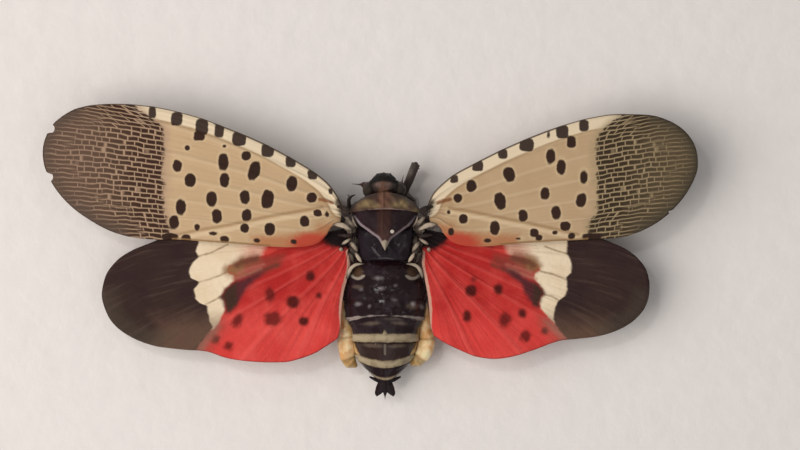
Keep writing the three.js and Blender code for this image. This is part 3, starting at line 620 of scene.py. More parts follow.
def forewing_membrane(name, ground, lines_near, lines_far, dash_colour, rim_colour):
    """Waxy leathery membrane: matt tan with long grain, spots, and a network of cells at the tip.

    The network is a brick pattern along its rows: dark cells of uneven length between pale lines.
    """
    material, tree, shader, where = finish(name, 0.6, Specular_IOR_Level=0.22)
    along, streak = long_grain(tree, 55, 4)
    across = add(tree, "ShaderNodeAttribute", attribute_name="across").outputs["Fac"]
    blotch = add(tree, "ShaderNodeTexNoise", {"Vector": where, "Scale": 0.45, "Detail": 3})
    sway = add(tree, "ShaderNodeTexNoise", {"Vector": where, "Scale": 1.1, "Detail": 1})
    swayed = add(tree, "ShaderNodeMath", {0: sway.outputs["Fac"], 1: ROW_SWAY, 2: across},
                 operation="MULTIPLY_ADD").outputs[0]
    # Each row of cells is pushed along by its own noise, so that no two cells are alike
    row = add(tree, "ShaderNodeMath", {0: swayed, 1: ROW_PITCH}, operation="SNAP").outputs[0]
    lane = add(tree, "ShaderNodeCombineXYZ", {"X": along, "Y": row}).outputs[0]
    spread = add(tree, "ShaderNodeVectorMath", {0: lane, 1: (0.9, 11, 1)}, operation="MULTIPLY")
    push = add(tree, "ShaderNodeTexNoise", {"Vector": spread.outputs[0], "Scale": 1, "Detail": 1})
    pushed = add(tree, "ShaderNodeMath", {0: push.outputs["Fac"], 1: CELL_PUSH, 2: along},
                 operation="MULTIPLY_ADD").outputs[0]
    lie = add(tree, "ShaderNodeCombineXYZ", {"X": pushed, "Y": swayed}).outputs[0]
    # Short cells, and the long ones of the outer border
    bricks, rows = (
        add(tree, "ShaderNodeTexBrick",
            {"Vector": lie, "Scale": 1, "Mortar Size": line, "Mortar Smooth": soft,
             "Brick Width": length, "Row Height": pitch}).outputs["Fac"]
        for line, soft, length, pitch in (
            (0.085, 0.95, CELL_LENGTH, ROW_PITCH), (0.075, 1.0, CELL_LENGTH * 4, OUTER_PITCH),
        )
    )
    outer = marking(tree, where, "tip", 0.5, 0.8, 0.9, deep=-1.7)
    lines = add(tree, "ShaderNodeMix", {0: outer, 2: bricks, 3: rows}).outputs[0]
    cell = add(tree, "ShaderNodeMath", {0: 1.0, 1: lines}, operation="SUBTRACT").outputs[0]
    network = marking(tree, where, "network", 0.14, 0.4, 2.6)
    far = marking(tree, where, "network", 2.4, 0.8, 0.6, deep=3.6)
    strength = add(tree, "ShaderNodeMapRange", {"Value": far, "To Min": 1.0, "To Max": 0.75}).outputs[0]
    spot = marking(tree, where, "spot", 0.05, 0.09, 2.5)
    stripe = marking(tree, where, "front", 0.05, 0.05, 1.2)
    coats = [
        ("#ad8f6c", streak, 0.5),
        ("#d5ba9a", blotch.outputs["Fac"], 0.45),
        ("#a98a68", ("root", 2.5, 0.5, 0.8), 0.55),
        ("#dac3a2", ("vein", 0.25, 0, 1, 0.5), 0.25),
        ("#dcc6a0", ("spot", 0.1, 0.05, 2, -0.12), 0.3),
        # Painted shade along the fold, and painted highlight just behind it
        ("#8f6f4a", ("fold", 0.1, 0.04), 0.6),
        ("#e2caa8", ("fold_highlight", 0.12, 0.03), 0.5),
        ("#e4d3b6", stripe, 0.85),
        ("#9a7d5a", ("stripe_edge", 0.07, 0.03), 0.5),
        ("#a9683f", ("blush", 0.35, 0.2), 0.75),
        ("#b5382c", ("red_blush", 0.4, 0.15), 0.85),
        (lines_near, ("network", 0.5, 0.5, 1.5, -0.3), 0.75),
        (lines_far, far, 0.9),
        (dash_colour, cell, network, strength),
        (rim_colour, ("tip", 0.6, 0.3, 0.8, -0.55), 0.85),
        ("#80502f", ("stroke", 0.08, 0.08, 4), 0.9),
        ("#33241f", ("hinge_dark", 0.2, 0.2, 3), 0.9),
        ("#2c1d17", spot),
        ("#452c22", spot, blotch.outputs["Fac"], 0.6),
        ("#4a4038", spot, stripe, 0.5),
        ("#8a6b45", ("rear_edge", 0.05, 0.03), 0.8),
        ("#40332a", ("front_edge", 0.04), 0.9),
    ]
    paint(tree, shader, where, ground, coats)
    fine = add(tree, "ShaderNodeTexNoise", {"Vector": where, "Scale": 14, "Detail": 3}).outputs["Fac"]
    raised = add(tree, "ShaderNodeMath", {0: lines, 1: network}, operation="MULTIPLY").outputs[0]
    relief(tree, shader, [(streak, 0.05), (raised, 0.03), (fine, 0.012)])
    return material


def hindwing_membrane(name):
    """Thin pleated membrane: matt red, cream and soot black, with fine lengthwise wrinkles."""
    material, tree, shader, where = finish(name, 0.64, Specular_IOR_Level=0.2)
    _, streak = long_grain(tree, 60, 5)
    wrinkle = add(tree, "ShaderNodeMapRange",
                  {"Value": streak, "From Min": 0.52, "From Max": 0.7}).outputs[0]
    blotch = add(tree, "ShaderNodeTexNoise", {"Vector": where, "Scale": 0.5, "Detail": 4})
    cloud = add(tree, "ShaderNodeMapRange",
                {"Value": blotch.outputs["Fac"], "From Min": 0.4, "From Max": 0.65}).outputs[0]
    crumple = add(tree, "ShaderNodeTexNoise", {"Vector": where, "Scale": 2.6, "Detail": 4})
    dark = marking(tree, where, "dark", 0.1, 0.12, 2.2)
    # The cream field has a sharp outline, and inside it the cream begins softly
    cream_field = marking(tree, where, "cream", 0.1, 0.1, 1.8)
    begun = marking(tree, where, "cream_start", 0.45, 0.2, 1.2)
    cream = add(tree, "ShaderNodeMath", {0: cream_field, 1: begun}, operation="MULTIPLY").outputs[0]
    coats = [
        ("#c42e2a", cloud, 0.6),
        ("#d8443f", ("rear", 1.6, 0.5, 0.6), 0.75),
        ("#e0605a", ("vein", 0.3, 0, 1, 0.6), 0.24),
        ("#9c201d", wrinkle, 0.14),
        ("#e86f66", crumple.outputs["Fac"], cloud, 0.35),
        ("#c07668", ("seam", 0.35, 0.2, 1.2), 0.8),
        ("#8a3a30", ("between", 0.35, 0.2, 1.2), 0.85),
        ("#c8423a", cream_field),
        ("#e8d6ba", cream),
        ("#d2b793", cream, cloud, 0.4),
        ("#d99c88", cream, ("pink", 0.8, 0.2, 0.8), 0.75),
        ("#b07a68", ("strip", 0.15, 0.08, 2), 0.6),
        ("#88704f", ("cream_vein", 0.06, 0.03), 0.75),
        ("#93543f", ("smoke", 0.35, 0.25, 2, -0.25), 0.65),
        ("#824936", ("smoke", 0.3, 0.25, 2), 0.6),
        ("#8a7048", ("smoke_end", 0.3, 0.2, 2), 0.6),
        ("#63392c", ("soot", 0.2, 0.16, 2.5), 0.8),
        ("#b5695c", ("soot_gap", 0.14, 0.1, 2.5), 0.55),
        ("#56262a", ("wedge", 0.24, 0.2, 2), ("wedge_fade", 0.9, 0.2)),
        ("#3a2c20", ("wedge_end", 0.25, 0.12, 2), 0.85),
        ("#641a17", ("faint", 0.18, 0.2, 2.6), 0.9),
        ("#45120f", ("spot", 0.16, 0.12, 2.4), 0.95),
        ("#1f1517", ("base", 0.25, 0.3, 2.2)),
        ("#372723", dark),
        ("#2f1f21", dark, cloud, 0.7),
        ("#54423a", dark, wrinkle, 0.45),
        ("#6b5142", ("brownish", 1.0, 0.5, 0.9), 0.7),
        ("#4a4237", ("grey_edge", 0.6, 0.4, 0.9), 0.5),
        ("#6a2724", ("edge", 0.05), 0.6),
        ("#c9a08c", ("pale_edge", 0.05, 0.05), 0.85),
    ]
    paint(tree, shader, where, "#ad2624", coats)
    fine = add(tree, "ShaderNodeTexNoise", {"Vector": where, "Scale": 12, "Detail": 3}).outputs["Fac"]
    relief(tree, shader, [(streak, 0.08), (crumple.outputs["Fac"], 0.05), (fine, 0.015)])
    return material


def fore_arch(s, t):
    """The forewing's crown: highest along the middle and level at the hinge."""
    return ARCH_HEIGHT * np.sin(t * math.pi) * np.sin(np.minimum(s * 1.2, 1) * math.pi / 2)


def hind_pleats(s, t):
    """Shallow pleats of the hindwing's rear field that grow from the hinge to the margin."""
    return PLEAT_HEIGHT * s * np.sin(t * math.pi * 9) * step(0.35, 0.7, t)


def make_forewing(side, edges, spots, front_spots, network, lean, fold, material, nicks):
    """One forewing with its markings as depths in millimetres.

    The rows of the network follow y = v + d (lean0 + lean1 v) - lean2 d^2 at d beyond its start.
    """
    sign = -1 if side == "left" else 1
    name = "forewing_" + side
    shape, x, y, s, t, ridge = wing(
        edges, FOREWING_VEINS, 0, FORE_WIDTH, fore_arch, FORE_VEIN_HEIGHT, nicks
    )
    to_front, to_tip, to_rear = from_edges(x, y, edges)
    out = sign * x
    edge_x = np.interp(-y, [-py for _, py in network], [px for px, _ in network])
    beyond = out - sign * edge_x
    rows_at = (y - lean[0] * beyond + lean[2] * beyond**2) / (1 + lean[1] * beyond)
    streak = line_distance(out, y, [(3.7, 2.6), (4.1, 2.75), (4.55, 2.85)])
    socket = line_distance(out, y, [(2.9, 1.9), (3.25, 2.65)])
    hem = np.minimum(0.12 - to_rear, np.minimum(out - 8, -beyond))
    spot = np.maximum(inside_spots(x, y, spots), inside_spots(x, y, front_spots, 3.2))
    to_fold = line_distance(x, y, fold)
    beside_fold = line_distance(x, y, np.add(fold, (0, -0.32)))
    values = {
        "along": beyond + 30, "across": rows_at + 9, "share": t, "network": beyond, "tip": -to_tip,
        "spot": spot, "front": np.minimum(STRIPE_WIDTH - to_front, 0.6 - beyond),
        "vein": ridge * (1 - s * 0.5),
        "stripe_edge": np.minimum(0.08 - np.abs(to_front - STRIPE_WIDTH - 0.06), 0.2 - beyond),
        "fold": 0.1 - to_fold, "fold_highlight": 0.14 - beside_fold,
        "root": 5.5 - np.hypot(out, y - 1.8),
        "blush": np.minimum(1.0 - to_rear - 0.12 * np.abs(out - 6), np.minimum(9.3 - out, 1.1 - y)),
        "red_blush": 1.0 - np.hypot((out - 5.0) / 1.6, (y + 0.25) / 0.75),
        "stroke": 0.12 - streak, "hinge_dark": 0.24 - socket, "rear_edge": hem,
        "front_edge": np.where(out < 12, 0.11, 0.07) - np.minimum(to_front, to_tip),
    }
    return piece(name, shape, material, [name], both_faces(values))


def make_hindwing(side, edges, spots, faint, dark, cream, wedge, smoke, between, cream_veins, material):
    """One hindwing with its markings as depths in millimetres."""
    sign = -1 if side == "left" else 1
    name = "hindwing_" + side
    shape, x, y, s, t, ridge = wing(
        edges, HINDWING_VEINS, WING_STEP, HIND_WIDTH, hind_pleats, HIND_VEIN_HEIGHT
    )
    _, to_tip, to_body = from_edges(x, y, edges)
    out = sign * x
    edge_x = np.interp(-y, [-py for _, py in dark], [px for px, _ in dark])
    beyond = out - sign * edge_x
    vein_depth = -np.minimum.reduce([line_distance(x, y, line) for line in cream_veins])
    smoke_depth = inside_outline(x, y, smoke)
    wedge_depth = inside_outline(x, y, wedge)
    strip = line_distance(out, y, [(10.6, -2.75), (9.3, -2.3), (8.7, -2.05)])
    soot = line_distance(out, y, [(10.4, -1.75), (10.1, -1.6), (9.0, -1.28)])
    inner_soot = line_distance(out, y, [(9.3, -2.5), (8.4, -2.08), (7.5, -1.72)])
    soot_gap = line_distance(out, y, [(10.3, -2.32), (9.5, -2.0), (8.5, -1.72)])
    values = {
        "along": out + 30, "share": t, "dark": beyond, "cream": inside_outline(x, y, cream),
        "pink": 9.9 - out, "cream_start": out - 8.55 + 0.4 * (y + 0.5),
        "wedge": wedge_depth, "wedge_fade": out - 8.4,
        "wedge_end": np.minimum(wedge_depth, out - 10.4), "smoke": smoke_depth,
        "soot": 0.2 - np.minimum(soot, inner_soot + 0.1), "soot_gap": 0.1 - soot_gap,
        "smoke_end": np.minimum(smoke_depth + 0.2, out - 9.9), "between": inside_outline(x, y, between),
        "strip": 0.12 - strip, "spot": inside_spots(x, y, spots), "faint": inside_spots(x, y, faint),
        "cream_vein": 0.06 + vein_depth, "vein": ridge, "rear": -y - 5.0,
        "seam": np.minimum(0.5 + beyond, -5.7 - y),
        "base": 1.25 - np.hypot((out - 2.9) * 0.75, (y - 0.45) * 1.15),
        "brownish": np.minimum(2.2 - np.abs(beyond - 1.4), -5.6 - y),
        "grey_edge": np.minimum(1.0 - to_tip, np.minimum(-3.5 - y, beyond - 2.5)),
        "edge": np.minimum(0.06 - np.minimum(to_tip, to_body), -beyond),
        "pale_edge": 0.2 * step(-6.8, -4.6, y) - to_body,
    }
    return piece(name, shape, material, [name], both_faces(values))


# The right forewing takes darker, greyer copies of the left's colours: painted shade for its dimmer
# side.
fore_left_skin = forewing_membrane(
    "tan_forewing_left", "#bfa27c", "#ab8e77", "#957b68", "#3b261c", "#56473e"
)
fore_right_skin_shaded = forewing_membrane(
    "tan_forewing_right_shaded", "#b29672", "#a18f6f", "#877659", "#382c1e", "#484033"
)
hind_skin = hindwing_membrane("red_hindwing")
make_forewing(
    "left", FOREWING_LEFT, SPOTS_LEFT, FRONT_SPOTS_LEFT, NETWORK_LEFT, ROW_LEAN_LEFT, FOLD_LEFT,
    fore_left_skin, NICKS_LEFT,
)
make_forewing(
    "right", FOREWING_RIGHT, SPOTS_RIGHT, FRONT_SPOTS_RIGHT, NETWORK_RIGHT, ROW_LEAN_RIGHT,
    FOLD_RIGHT, fore_right_skin_shaded, NICKS_RIGHT,
)
make_hindwing(
    "left", HINDWING_LEFT, HIND_SPOTS_LEFT, HIND_FAINT_LEFT, DARK_LEFT, CREAM_LEFT, WEDGE_LEFT,
    SMOKE_LEFT, BETWEEN_LEFT, CREAM_VEINS_LEFT, hind_skin,
)
make_hindwing(
    "right", HINDWING_RIGHT, HIND_SPOTS_RIGHT, HIND_FAINT_RIGHT, DARK_RIGHT, CREAM_RIGHT,
    WEDGE_RIGHT, SMOKE_RIGHT, BETWEEN_RIGHT, CREAM_VEINS_RIGHT, hind_skin,
)

# Body: profiles are rows of y, half width, low, high and waist, from front to rear

THORAX = [
    (3.0, 1.35, 1.5, 2.7, 2.1), (2.4, 1.95, 0.95, 2.9, 2.0), (1.5, 2.3, 0.4, 3.0, 1.9),
    (0.8, 2.36, 0, 3.0, 1.8), (-0.6, 2.32, 0, 3.0, 1.8), (-1.45, 2.0, 0.1, 2.95, 1.7),
]
ABDOMEN = [
    (-1.45, 1.75, 0.2, 3.2, 1.7), (-1.75, 2.1, 0.15, 3.4, 1.7), (-2.1, 2.4, 0.1, 3.55, 1.7),
    (-2.6, 2.65, 0, 3.7, 1.7), (-3.3, 2.86, 0, 3.85, 1.7), (-4.4, 2.93, 0, 3.95, 1.7),
    (-5.3, 2.78, 0, 3.85, 1.7), (-6.0, 2.5, 0, 3.7, 1.65), (-6.5, 2.42, 0, 3.6, 1.6),
    (-7.5, 2.28, 0, 3.3, 1.5), (-8.5, 2.1, 0.1, 2.9, 1.45), (-9.1, 1.9, 0.35, 2.55, 1.4),
    (-9.5, 1.55, 0.6, 2.35, 1.4), (-9.9, 1.05, 0.9, 2.1, 1.4),
]
# Each ring of the abdomen starts here at the middle of the back. A bow carries its sides forward.
RING_STARTS = [-1.45, -2.75, -4.1, -5.25, -7.17, -9.0, -9.85]
RING_BOWS = [0.1, 0.12, -0.05, -0.35, 0.05, 0.62, 0.62]
RING_LIPS = [0.03, 0.015, 0.04, 0.1, 0.12, 0.1]
# Pale bands as y at the middle of the back, half width there and half width at the sides
PALE_BANDS = [(-6.86, 0.3, 0.34), (-8.72, 0.26, 0.33), (-9.76, 0.08, 0.07)]
# Half width of the black of the back at each y. Yellow skin shows beside it.
DARK_HALF = [
    (-4.6, 3.3), (-5.3, 2.75), (-5.95, 2.42), (-6.5, 2.3), (-7.2, 2.2), (-7.6, 2.1), (-8.0, 1.98),
    (-8.4, 1.75), (-8.8, 1.9), (-9.2, 1.75), (-9.6, 1.5), (-10, 1.2),
]
# Muscle marks, paler and duller than the shell, as x, y, half width and half height
SMEARS = [
    (-1.0, -5.8, 0.55, 0.13), (1.05, -5.78, 0.5, 0.12), (-0.85, -7.42, 0.62, 0.13),
    (0.9, -7.45, 0.6, 0.1), (-1.9, -3.3, 0.3, 0.12), (1.9, -4.55, 0.4, 0.2), (0.55, -5.5, 0.35, 0.05),
]
# Painted glints: pale flecks that stand for the shine on the front rings and along the fourth ring's
# edge, written the same way
PAINTED_GLINTS = [
    (-1.86, -4.42, 0.17, 0.11), (-1.09, -4.6, 0.07, 0.07), (-0.09, -4.3, 0.05, 0.12),
    (1.97, -4.42, 0.2, 0.12), (2.6, -4.55, 0.12, 0.12), (0.66, -4.16, 0.12, 0.05),
    (-0.48, -2.67, 0.26, 0.1), (-0.22, -3.37, 0.2, 0.14), (-1.66, -3.46, 0.1, 0.08),
    (0.75, -3.2, 0.1, 0.06), (2.15, -5.3, 0.36, 0.09),
]


SECTION_POWER = 0.92


def body_section(y, w, low, high, waist, bow, sides):
    """A ring round the body: a slightly squared ellipse, flat where it meets the floor.

    The cosine and sine of its turn are raised to a power just under one. bow carries the ring's
    sides forward by the square of their share of the half width.
    """
    turn = (np.arange(sides) + 0.5) / sides * 2 * math.pi
    c, s = (np.sign(wave) * np.abs(wave) ** SECTION_POWER for wave in (np.cos(turn), np.sin(turn)))
    x = w[:, None] * c
    z = waist[:, None] + np.where(s > 0, high[:, None] - waist[:, None], (waist - low)[:, None]) * s
    return np.stack([x, y[:, None] + bow[:, None] * c**2, np.maximum(z, 0)], -1)


def body_rows(rows, y):
    """The half width, low, high and waist of a profile at each y."""
    table = np.array(rows)[::-1]
    return [np.interp(y, table[:, 0], table[:, k]) for k in range(1, 5)]


def make_thorax(material):
    """The thorax under its back plates: the profile's sections with the side plates' grooves."""
    rows, sides = 70, 96
    y = np.linspace(3.0, -1.48, rows)
    w, low, high, waist = body_rows(THORAX, y)
    rings = body_section(y, w, low, high, waist, np.linspace(-0.15, 0.1, rows), sides)
    x, z = rings[..., 0], rings[..., 2]
    grooves = -0.1 * bell((rings[..., 1] - 0.4 * z + 6) % 1.15 - 0.55, 0.09)
    rough = 0.03 * ripple(rings[..., 1] * 1.3, z + x * 0.3, 0.7, 3)
    side = step(0.6, 1.3, z) * step(3.0, 2.6, z)
    rings[..., 0] = x * (1 + (grooves * side + rough * step(0, 0.3, z)) / w[:, None])
    return piece("thorax", skin_over(rings), material, ["thorax"])


def make_abdomen(material):
    """One skin over the abdomen's rings, each lipped at its rear over the start of the next.

    The swell over a ring is lip x (f^2 - 0.3) for its share f, and drops into a groove. The
    markings are depths worked out from x and from along, the place before the rings bow.
    """
    share = np.concatenate([np.linspace(0, 0.1, 7)[:-1], np.linspace(0.1, 0.94, 20), [0.97, 0.99, 1.0]])
    count = len(RING_STARTS) - 1
    place = (np.arange(count)[:, None] + share).ravel()
    f = np.tile(share, count)
    lip = np.repeat(RING_LIPS, len(share))
    y = np.interp(place, np.arange(count + 1), RING_STARTS)
    bow = np.interp(place, np.arange(count + 1), RING_BOWS)
    w, low, high, waist = body_rows(ABDOMEN, y)
    swell = lip * (f**2 - 0.3) - 0.7 * lip * (1 - step(0, 0.1, f))
    sides = 144
    turn = ((np.arange(sides) + 0.5) / sides * 2 * math.pi)[None]
    rings = body_section(y, w + swell, low - swell, high + swell, waist, bow, sides)
    x, z = rings[..., 0], rings[..., 2]
    along, f = y[:, None] + 0 * turn, f[:, None]
    back = step(0.15, 0.5, np.sin(turn))
    front = step(-6.2, -5.2, along)
    keel = 0.05 * bell(x, 0.08) * step(-3.0, -5.0, along)
    scar = bell(np.abs(x) - 0.95, 0.28) * bell(f - 0.45, 0.2)
    knobs = 0.1 * step(0.1, 1.5, ripple(x, along * 1.3, 0.9, 5))
    pits = 0.06 * step(0, 1.5, ripple(x, along, 1.3, 8))
    bumps = (knobs - pits) * (0.25 + 0.75 * front)
    sag = -0.05 * ripple(x * 0.7, along * 0 + f, 1.6, 9) * step(0.6, 1, f)
    rings[..., 2] = np.maximum(z + back * (keel - 0.03 * scar + bumps + sag), 0)
    out = np.sign(x) * (1 - back) * step(0.2, 0.6, z)
    rings[..., 0] = x + out * 0.04 * ripple(z * 1.5, along * 1.5, 0.8, 7)
    # The last ring closes in a low dome
    dome = np.linspace(0, math.pi / 2, 9)[1:-1, None, None]
    hub = rings[-1].mean(axis=0)
    rings = np.vstack([rings, hub + (rings[-1] - hub) * np.cos(dome) - [0, 0.22, 0] * np.sin(dome)])
    x, z = rings[..., 0], rings[..., 2]
    y = np.append(y, np.full(dome.size, y[-1] - 0.15))
    along = y[:, None] + 0 * turn
    edge = np.abs(np.cos(turn))
    bands = [m + (e - m) * edge**2 - np.abs(along - at) for at, m, e in PALE_BANDS]
    peak = np.minimum(0.16 * (-6.25 - along) / 0.3 - np.abs(x), along + 6.7)
    lobe = np.hypot(np.abs(x) - 1.95, (along + 2.3) * 1.1)
    pale = np.maximum.reduce([*bands, peak])
    dark_y, dark_half = np.array(DARK_HALF)[::-1].T
    side = np.minimum(np.abs(x) - np.interp(along, dark_y, dark_half), z - 0.9)
    values = {
        "pale": pale, "pale_rim": pale + 0.07, "side": side,
        "pale_core": np.minimum(pale - 0.1, 0.12 + 0.1 * ripple(x * 0.5, along, 0.9, 4)),
        "crescent": np.minimum(0.1 - np.abs(lobe - 0.5), -2.5 - along),
        "brown": 0.42 - lobe,
        "thread": np.minimum.reduce([0.06 - np.abs(x), -7.3 - along, along + 8.05]),
        "smear": inside_spots(x, along, SMEARS, 2), "painted_glint": inside_spots(x, along, PAINTED_GLINTS, 2),
        "line": 0.12 * edge + 0.03 * ripple(x, along, 0.8, 21) - np.abs(along + 5.27),
        "ring_five": np.minimum(-7.15 - along, along + 8.6),
    }
    nodes = [f"abdomen_{k + 1}" for k in range(count)]
    return piece("abdomen", skin_over(rings), material, nodes, ringed(values))


def back_plate(rows, bow=0.0, detail=None, roll=0.5, across=121, stations=90):
    """A plate of the back, arched across by (1 - |t|^2.4)^0.62 between its profile's low and high.

    t runs from -1 to 1 across. The rows are joined by a smooth path, and bow carries the sides
    back or forward by t^2. detail(x, y, t) adds its height to the top, and roll is the share of
    the arch lost at the front and rear edge.
    """
    y, w, low, high = (v[:, None] for v in smooth_path(rows, np.linspace(0, 1, stations)).T)
    t = np.sin(np.linspace(-1, 1, across) * math.pi / 2)[None]
    x = t * np.maximum(w, 0.02)
    place = y + bow * t**2
    arch = (1 - np.abs(t) ** 2.4) ** 0.62
    rise = np.minimum(np.linspace(0, 1, stations), np.linspace(1, 0, stations))[:, None]
    arch = arch * (1 - roll * (1 - step(0, 0.05, rise)))
    top = low + 0.18 + (high - low - 0.18) * arch
    if detail:
        top = top + detail(x, place, t)
    under = low + 0.03 + 0 * t
    shape = slab(np.stack([x, place, top], -1), np.stack([x, place, under], -1))
    return shape, x, place, t


# Back plates as rows of y, half width, low and high, from front to rear
PRONOTUM = [
    (3.42, 0.7, 3.3, 3.64), (3.36, 1.15, 3.2, 3.84), (3.28, 1.48, 3.1, 3.98), (2.96, 1.93, 3.1, 4.14),
    (2.7, 2.22, 3.12, 4.22), (2.45, 2.42, 3.18, 4.27), (2.3, 2.5, 3.2, 4.3), (2.14, 2.5, 3.25, 4.3),
]
PRONOTUM_BOW = -0.26
PRONOTUM_REAR = 2.14
PRONOTUM_KEEL = -0.08
OLIVE_PATCHES = [
    (-1.3, 2.6, 0.38, 0.25), (-1.75, 2.4, 0.2, 0.15), (1.3, 2.55, 0.34, 0.3),
    (0.7, 2.45, 0.25, 0.15), (2.2, 2.1, 0.2, 0.12), (-0.75, 2.35, 0.25, 0.12),
]
MESONOTUM = [
    (2.35, 2.3, 3.2, 4.02), (2.1, 2.34, 3.27, 4.22), (1.85, 2.3, 3.27, 4.45), (1.5, 2.15, 3.27, 4.68),
    (1.2, 1.92, 3.4, 4.8), (0.98, 1.7, 3.55, 4.86), (0.75, 1.38, 3.7, 4.9), (0.5, 1.04, 3.8, 4.88),
    (0.3, 0.76, 3.85, 4.84), (0.1, 0.5, 3.88, 4.76), (-0.1, 0.35, 3.9, 4.64),
    (-0.4, 0.19, 3.9, 4.48), (-0.72, 0.03, 3.92, 4.3),
]
SHIELD_KEEL = -0.2
PALE_DOT = (0.51, 0.59)
METANOTUM = [
    (0.75, 1.9, 3.25, 3.62), (0.3, 1.9, 3.25, 3.78), (-0.4, 1.82, 3.25, 3.85),
    (-1.0, 1.7, 3.25, 3.8), (-1.3, 1.55, 3.24, 3.7), (-1.5, 1.25, 3.22, 3.55),
]


def make_pronotum(material):
    """Collar plate: a middle keel, two dished spots beside it and a raised rear border."""

    def detail(x, y, t):
        from_rear = y - PRONOTUM_BOW * t**2 - PRONOTUM_REAR
        keel = 0.07 * bell(x - PRONOTUM_KEEL, 0.07) * step(2.2, 2.5, y)
        dish = -0.08 * bell(np.abs(x) - 0.42, 0.2) * bell(y - 2.85, 0.22)
        border = 0.05 * bell(from_rear - 0.06, 0.07)
        slope = 0.06 * bell(np.abs(x) - 1.1 - (y - 2.4) * 0.5, 0.12)
        return keel + dish + border + slope + 0.03 * ripple(x, y, 0.6, 11)

    shape, x, y, t = back_plate(PRONOTUM, PRONOTUM_BOW, detail, 0.1)
    from_rear = y - PRONOTUM_BOW * t**2 - PRONOTUM_REAR
    values = {
        # border: a pale line along the raised rear edge, painted highlight
        "border": 0.1 - from_rear - 0.06 * np.abs(x), "keel": 0.035 - np.abs(x - PRONOTUM_KEEL),
        "olive": inside_spots(x, y, OLIVE_PATCHES, 2), "middle": 0.42 - np.abs(x + 0.05), 
        "rim": np.minimum(np.abs(t) - 0.93, y - 2.1),
        # front: darker front margin beside the eyes, partly the plate's dark rim and partly painted
        # shade where the eyes meet it
        "front": np.minimum(y - 3.15 + 0.25 * np.abs(x), np.abs(x + 0.05) - 0.45),
    }
    return piece("pronotum", shape, material, ["pronotum"], both_faces(values))


def make_mesonotum(material):
    """Shield of the back: pointed behind, with a raised pale border and a low middle keel."""

    def detail(x, y, t):
        border = 0.06 * bell(np.abs(t) - 0.93, 0.06) * step(1.9, 1.3, y)
        keel = 0.03 * bell(x - SHIELD_KEEL, 0.06)
        furrows = -0.04 * bell(np.abs(x) - 0.55, 0.14)
        boss = 0.06 * step(0.2, 0.1, np.hypot(x - PALE_DOT[0], y - PALE_DOT[1]))
        return border + keel + furrows + boss + 0.012 * ripple(x, y, 0.45, 13)

    shape, x, y, t = back_plate(MESONOTUM, 0, detail, 0.1)
    half = smooth_path([(row[1], row[0]) for row in MESONOTUM], np.linspace(0, 1, 60))
    to_edge = line_distance(np.abs(x), y, half)
    dot = np.hypot(x - PALE_DOT[0], y - PALE_DOT[1])
    values = {
        "border": np.minimum(0.16 - to_edge, 1.7 - y), "middle": 0.5 - np.abs(x + 0.05),
        "keel": 0.05 - np.abs(x - SHIELD_KEEL), "tip": 0.02 - y - np.abs(x) * 0.5, "dot": 0.13 - dot,
        "dot_ring": 0.22 - dot, "rear": 0.45 - y,
    }
    return piece("mesonotum", shape, material, ["mesonotum"], both_faces(values))


def make_metanotum(material):
    """Last plate of the thorax: two sunk fields beside a middle ridge, and a raised rear lip."""

    def detail(x, y, t):
        fields = -0.16 * bell(np.abs(x) - 0.75, 0.42) * bell(y + 0.25, 0.4)
        ridge = 0.12 * bell(x, 0.14) * step(-1.3, -0.7, y)
        lip = 0.08 * bell(y + 1.36 - 0.1 * np.cos(x * 2), 0.09)
        slant = 0.06 * bell(np.abs(x) - 0.62 + (y + 0.85) * 0.8, 0.12) * step(-1.2, -1.0, y)
        return fields + ridge + lip + slant + 0.015 * ripple(x, y, 0.9, 17)

    shape, x, y, t = back_plate(METANOTUM, 0, detail)
    # Painted highlights: a grey streak on the left field and a grey line along the raised rear lip
    streak = line_distance(x, y, [(-0.9, -0.5), (-0.65, -0.85), (-0.4, -1.1)])
    lip = 0.05 - np.abs(y + 1.38 - 0.1 * np.cos(x * 2)) - 0.2 * np.maximum(0, np.abs(x) - 0.4)
    values = {"lip": np.maximum(lip, 0.06 - streak)}
    return piece("metanotum", shape, material, ["metanotum"], both_faces(values))


HEAD_MIDDLE = -0.08  # the head sits a little to the left
EYE_SIZE = (0.45, 0.58, 0.52)
EYES = {"left": (-1.12, 3.52, 2.78), "right": (1.02, 3.52, 2.78)}
# Middles and half sizes of the ellipsoids that make up the head: back, crown, face and lip
HEAD_LOBES = [
    ((HEAD_MIDDLE, 3.72, 2.6), (1.12, 0.72, 1.0)),
    ((HEAD_MIDDLE, 4.05, 3.0), (0.88, 0.66, 0.72)),
    ((HEAD_MIDDLE, 4.1, 2.2), (0.72, 0.44, 1.1)),
    ((HEAD_MIDDLE, 3.88, 1.65), (0.42, 0.5, 0.95)),
]


def far_side(ray, origin, at, size):
    """How far a ray from inside an ellipsoid runs before it leaves it: the larger root."""
    start = (np.asarray(origin) - at) / size
    way = ray / size
    a = (way**2).sum(-1)
    b = (way * start).sum(-1)
    c = (start**2).sum() - 1
    return (-b + np.sqrt(np.maximum(b * b - a * c, 0))) / a


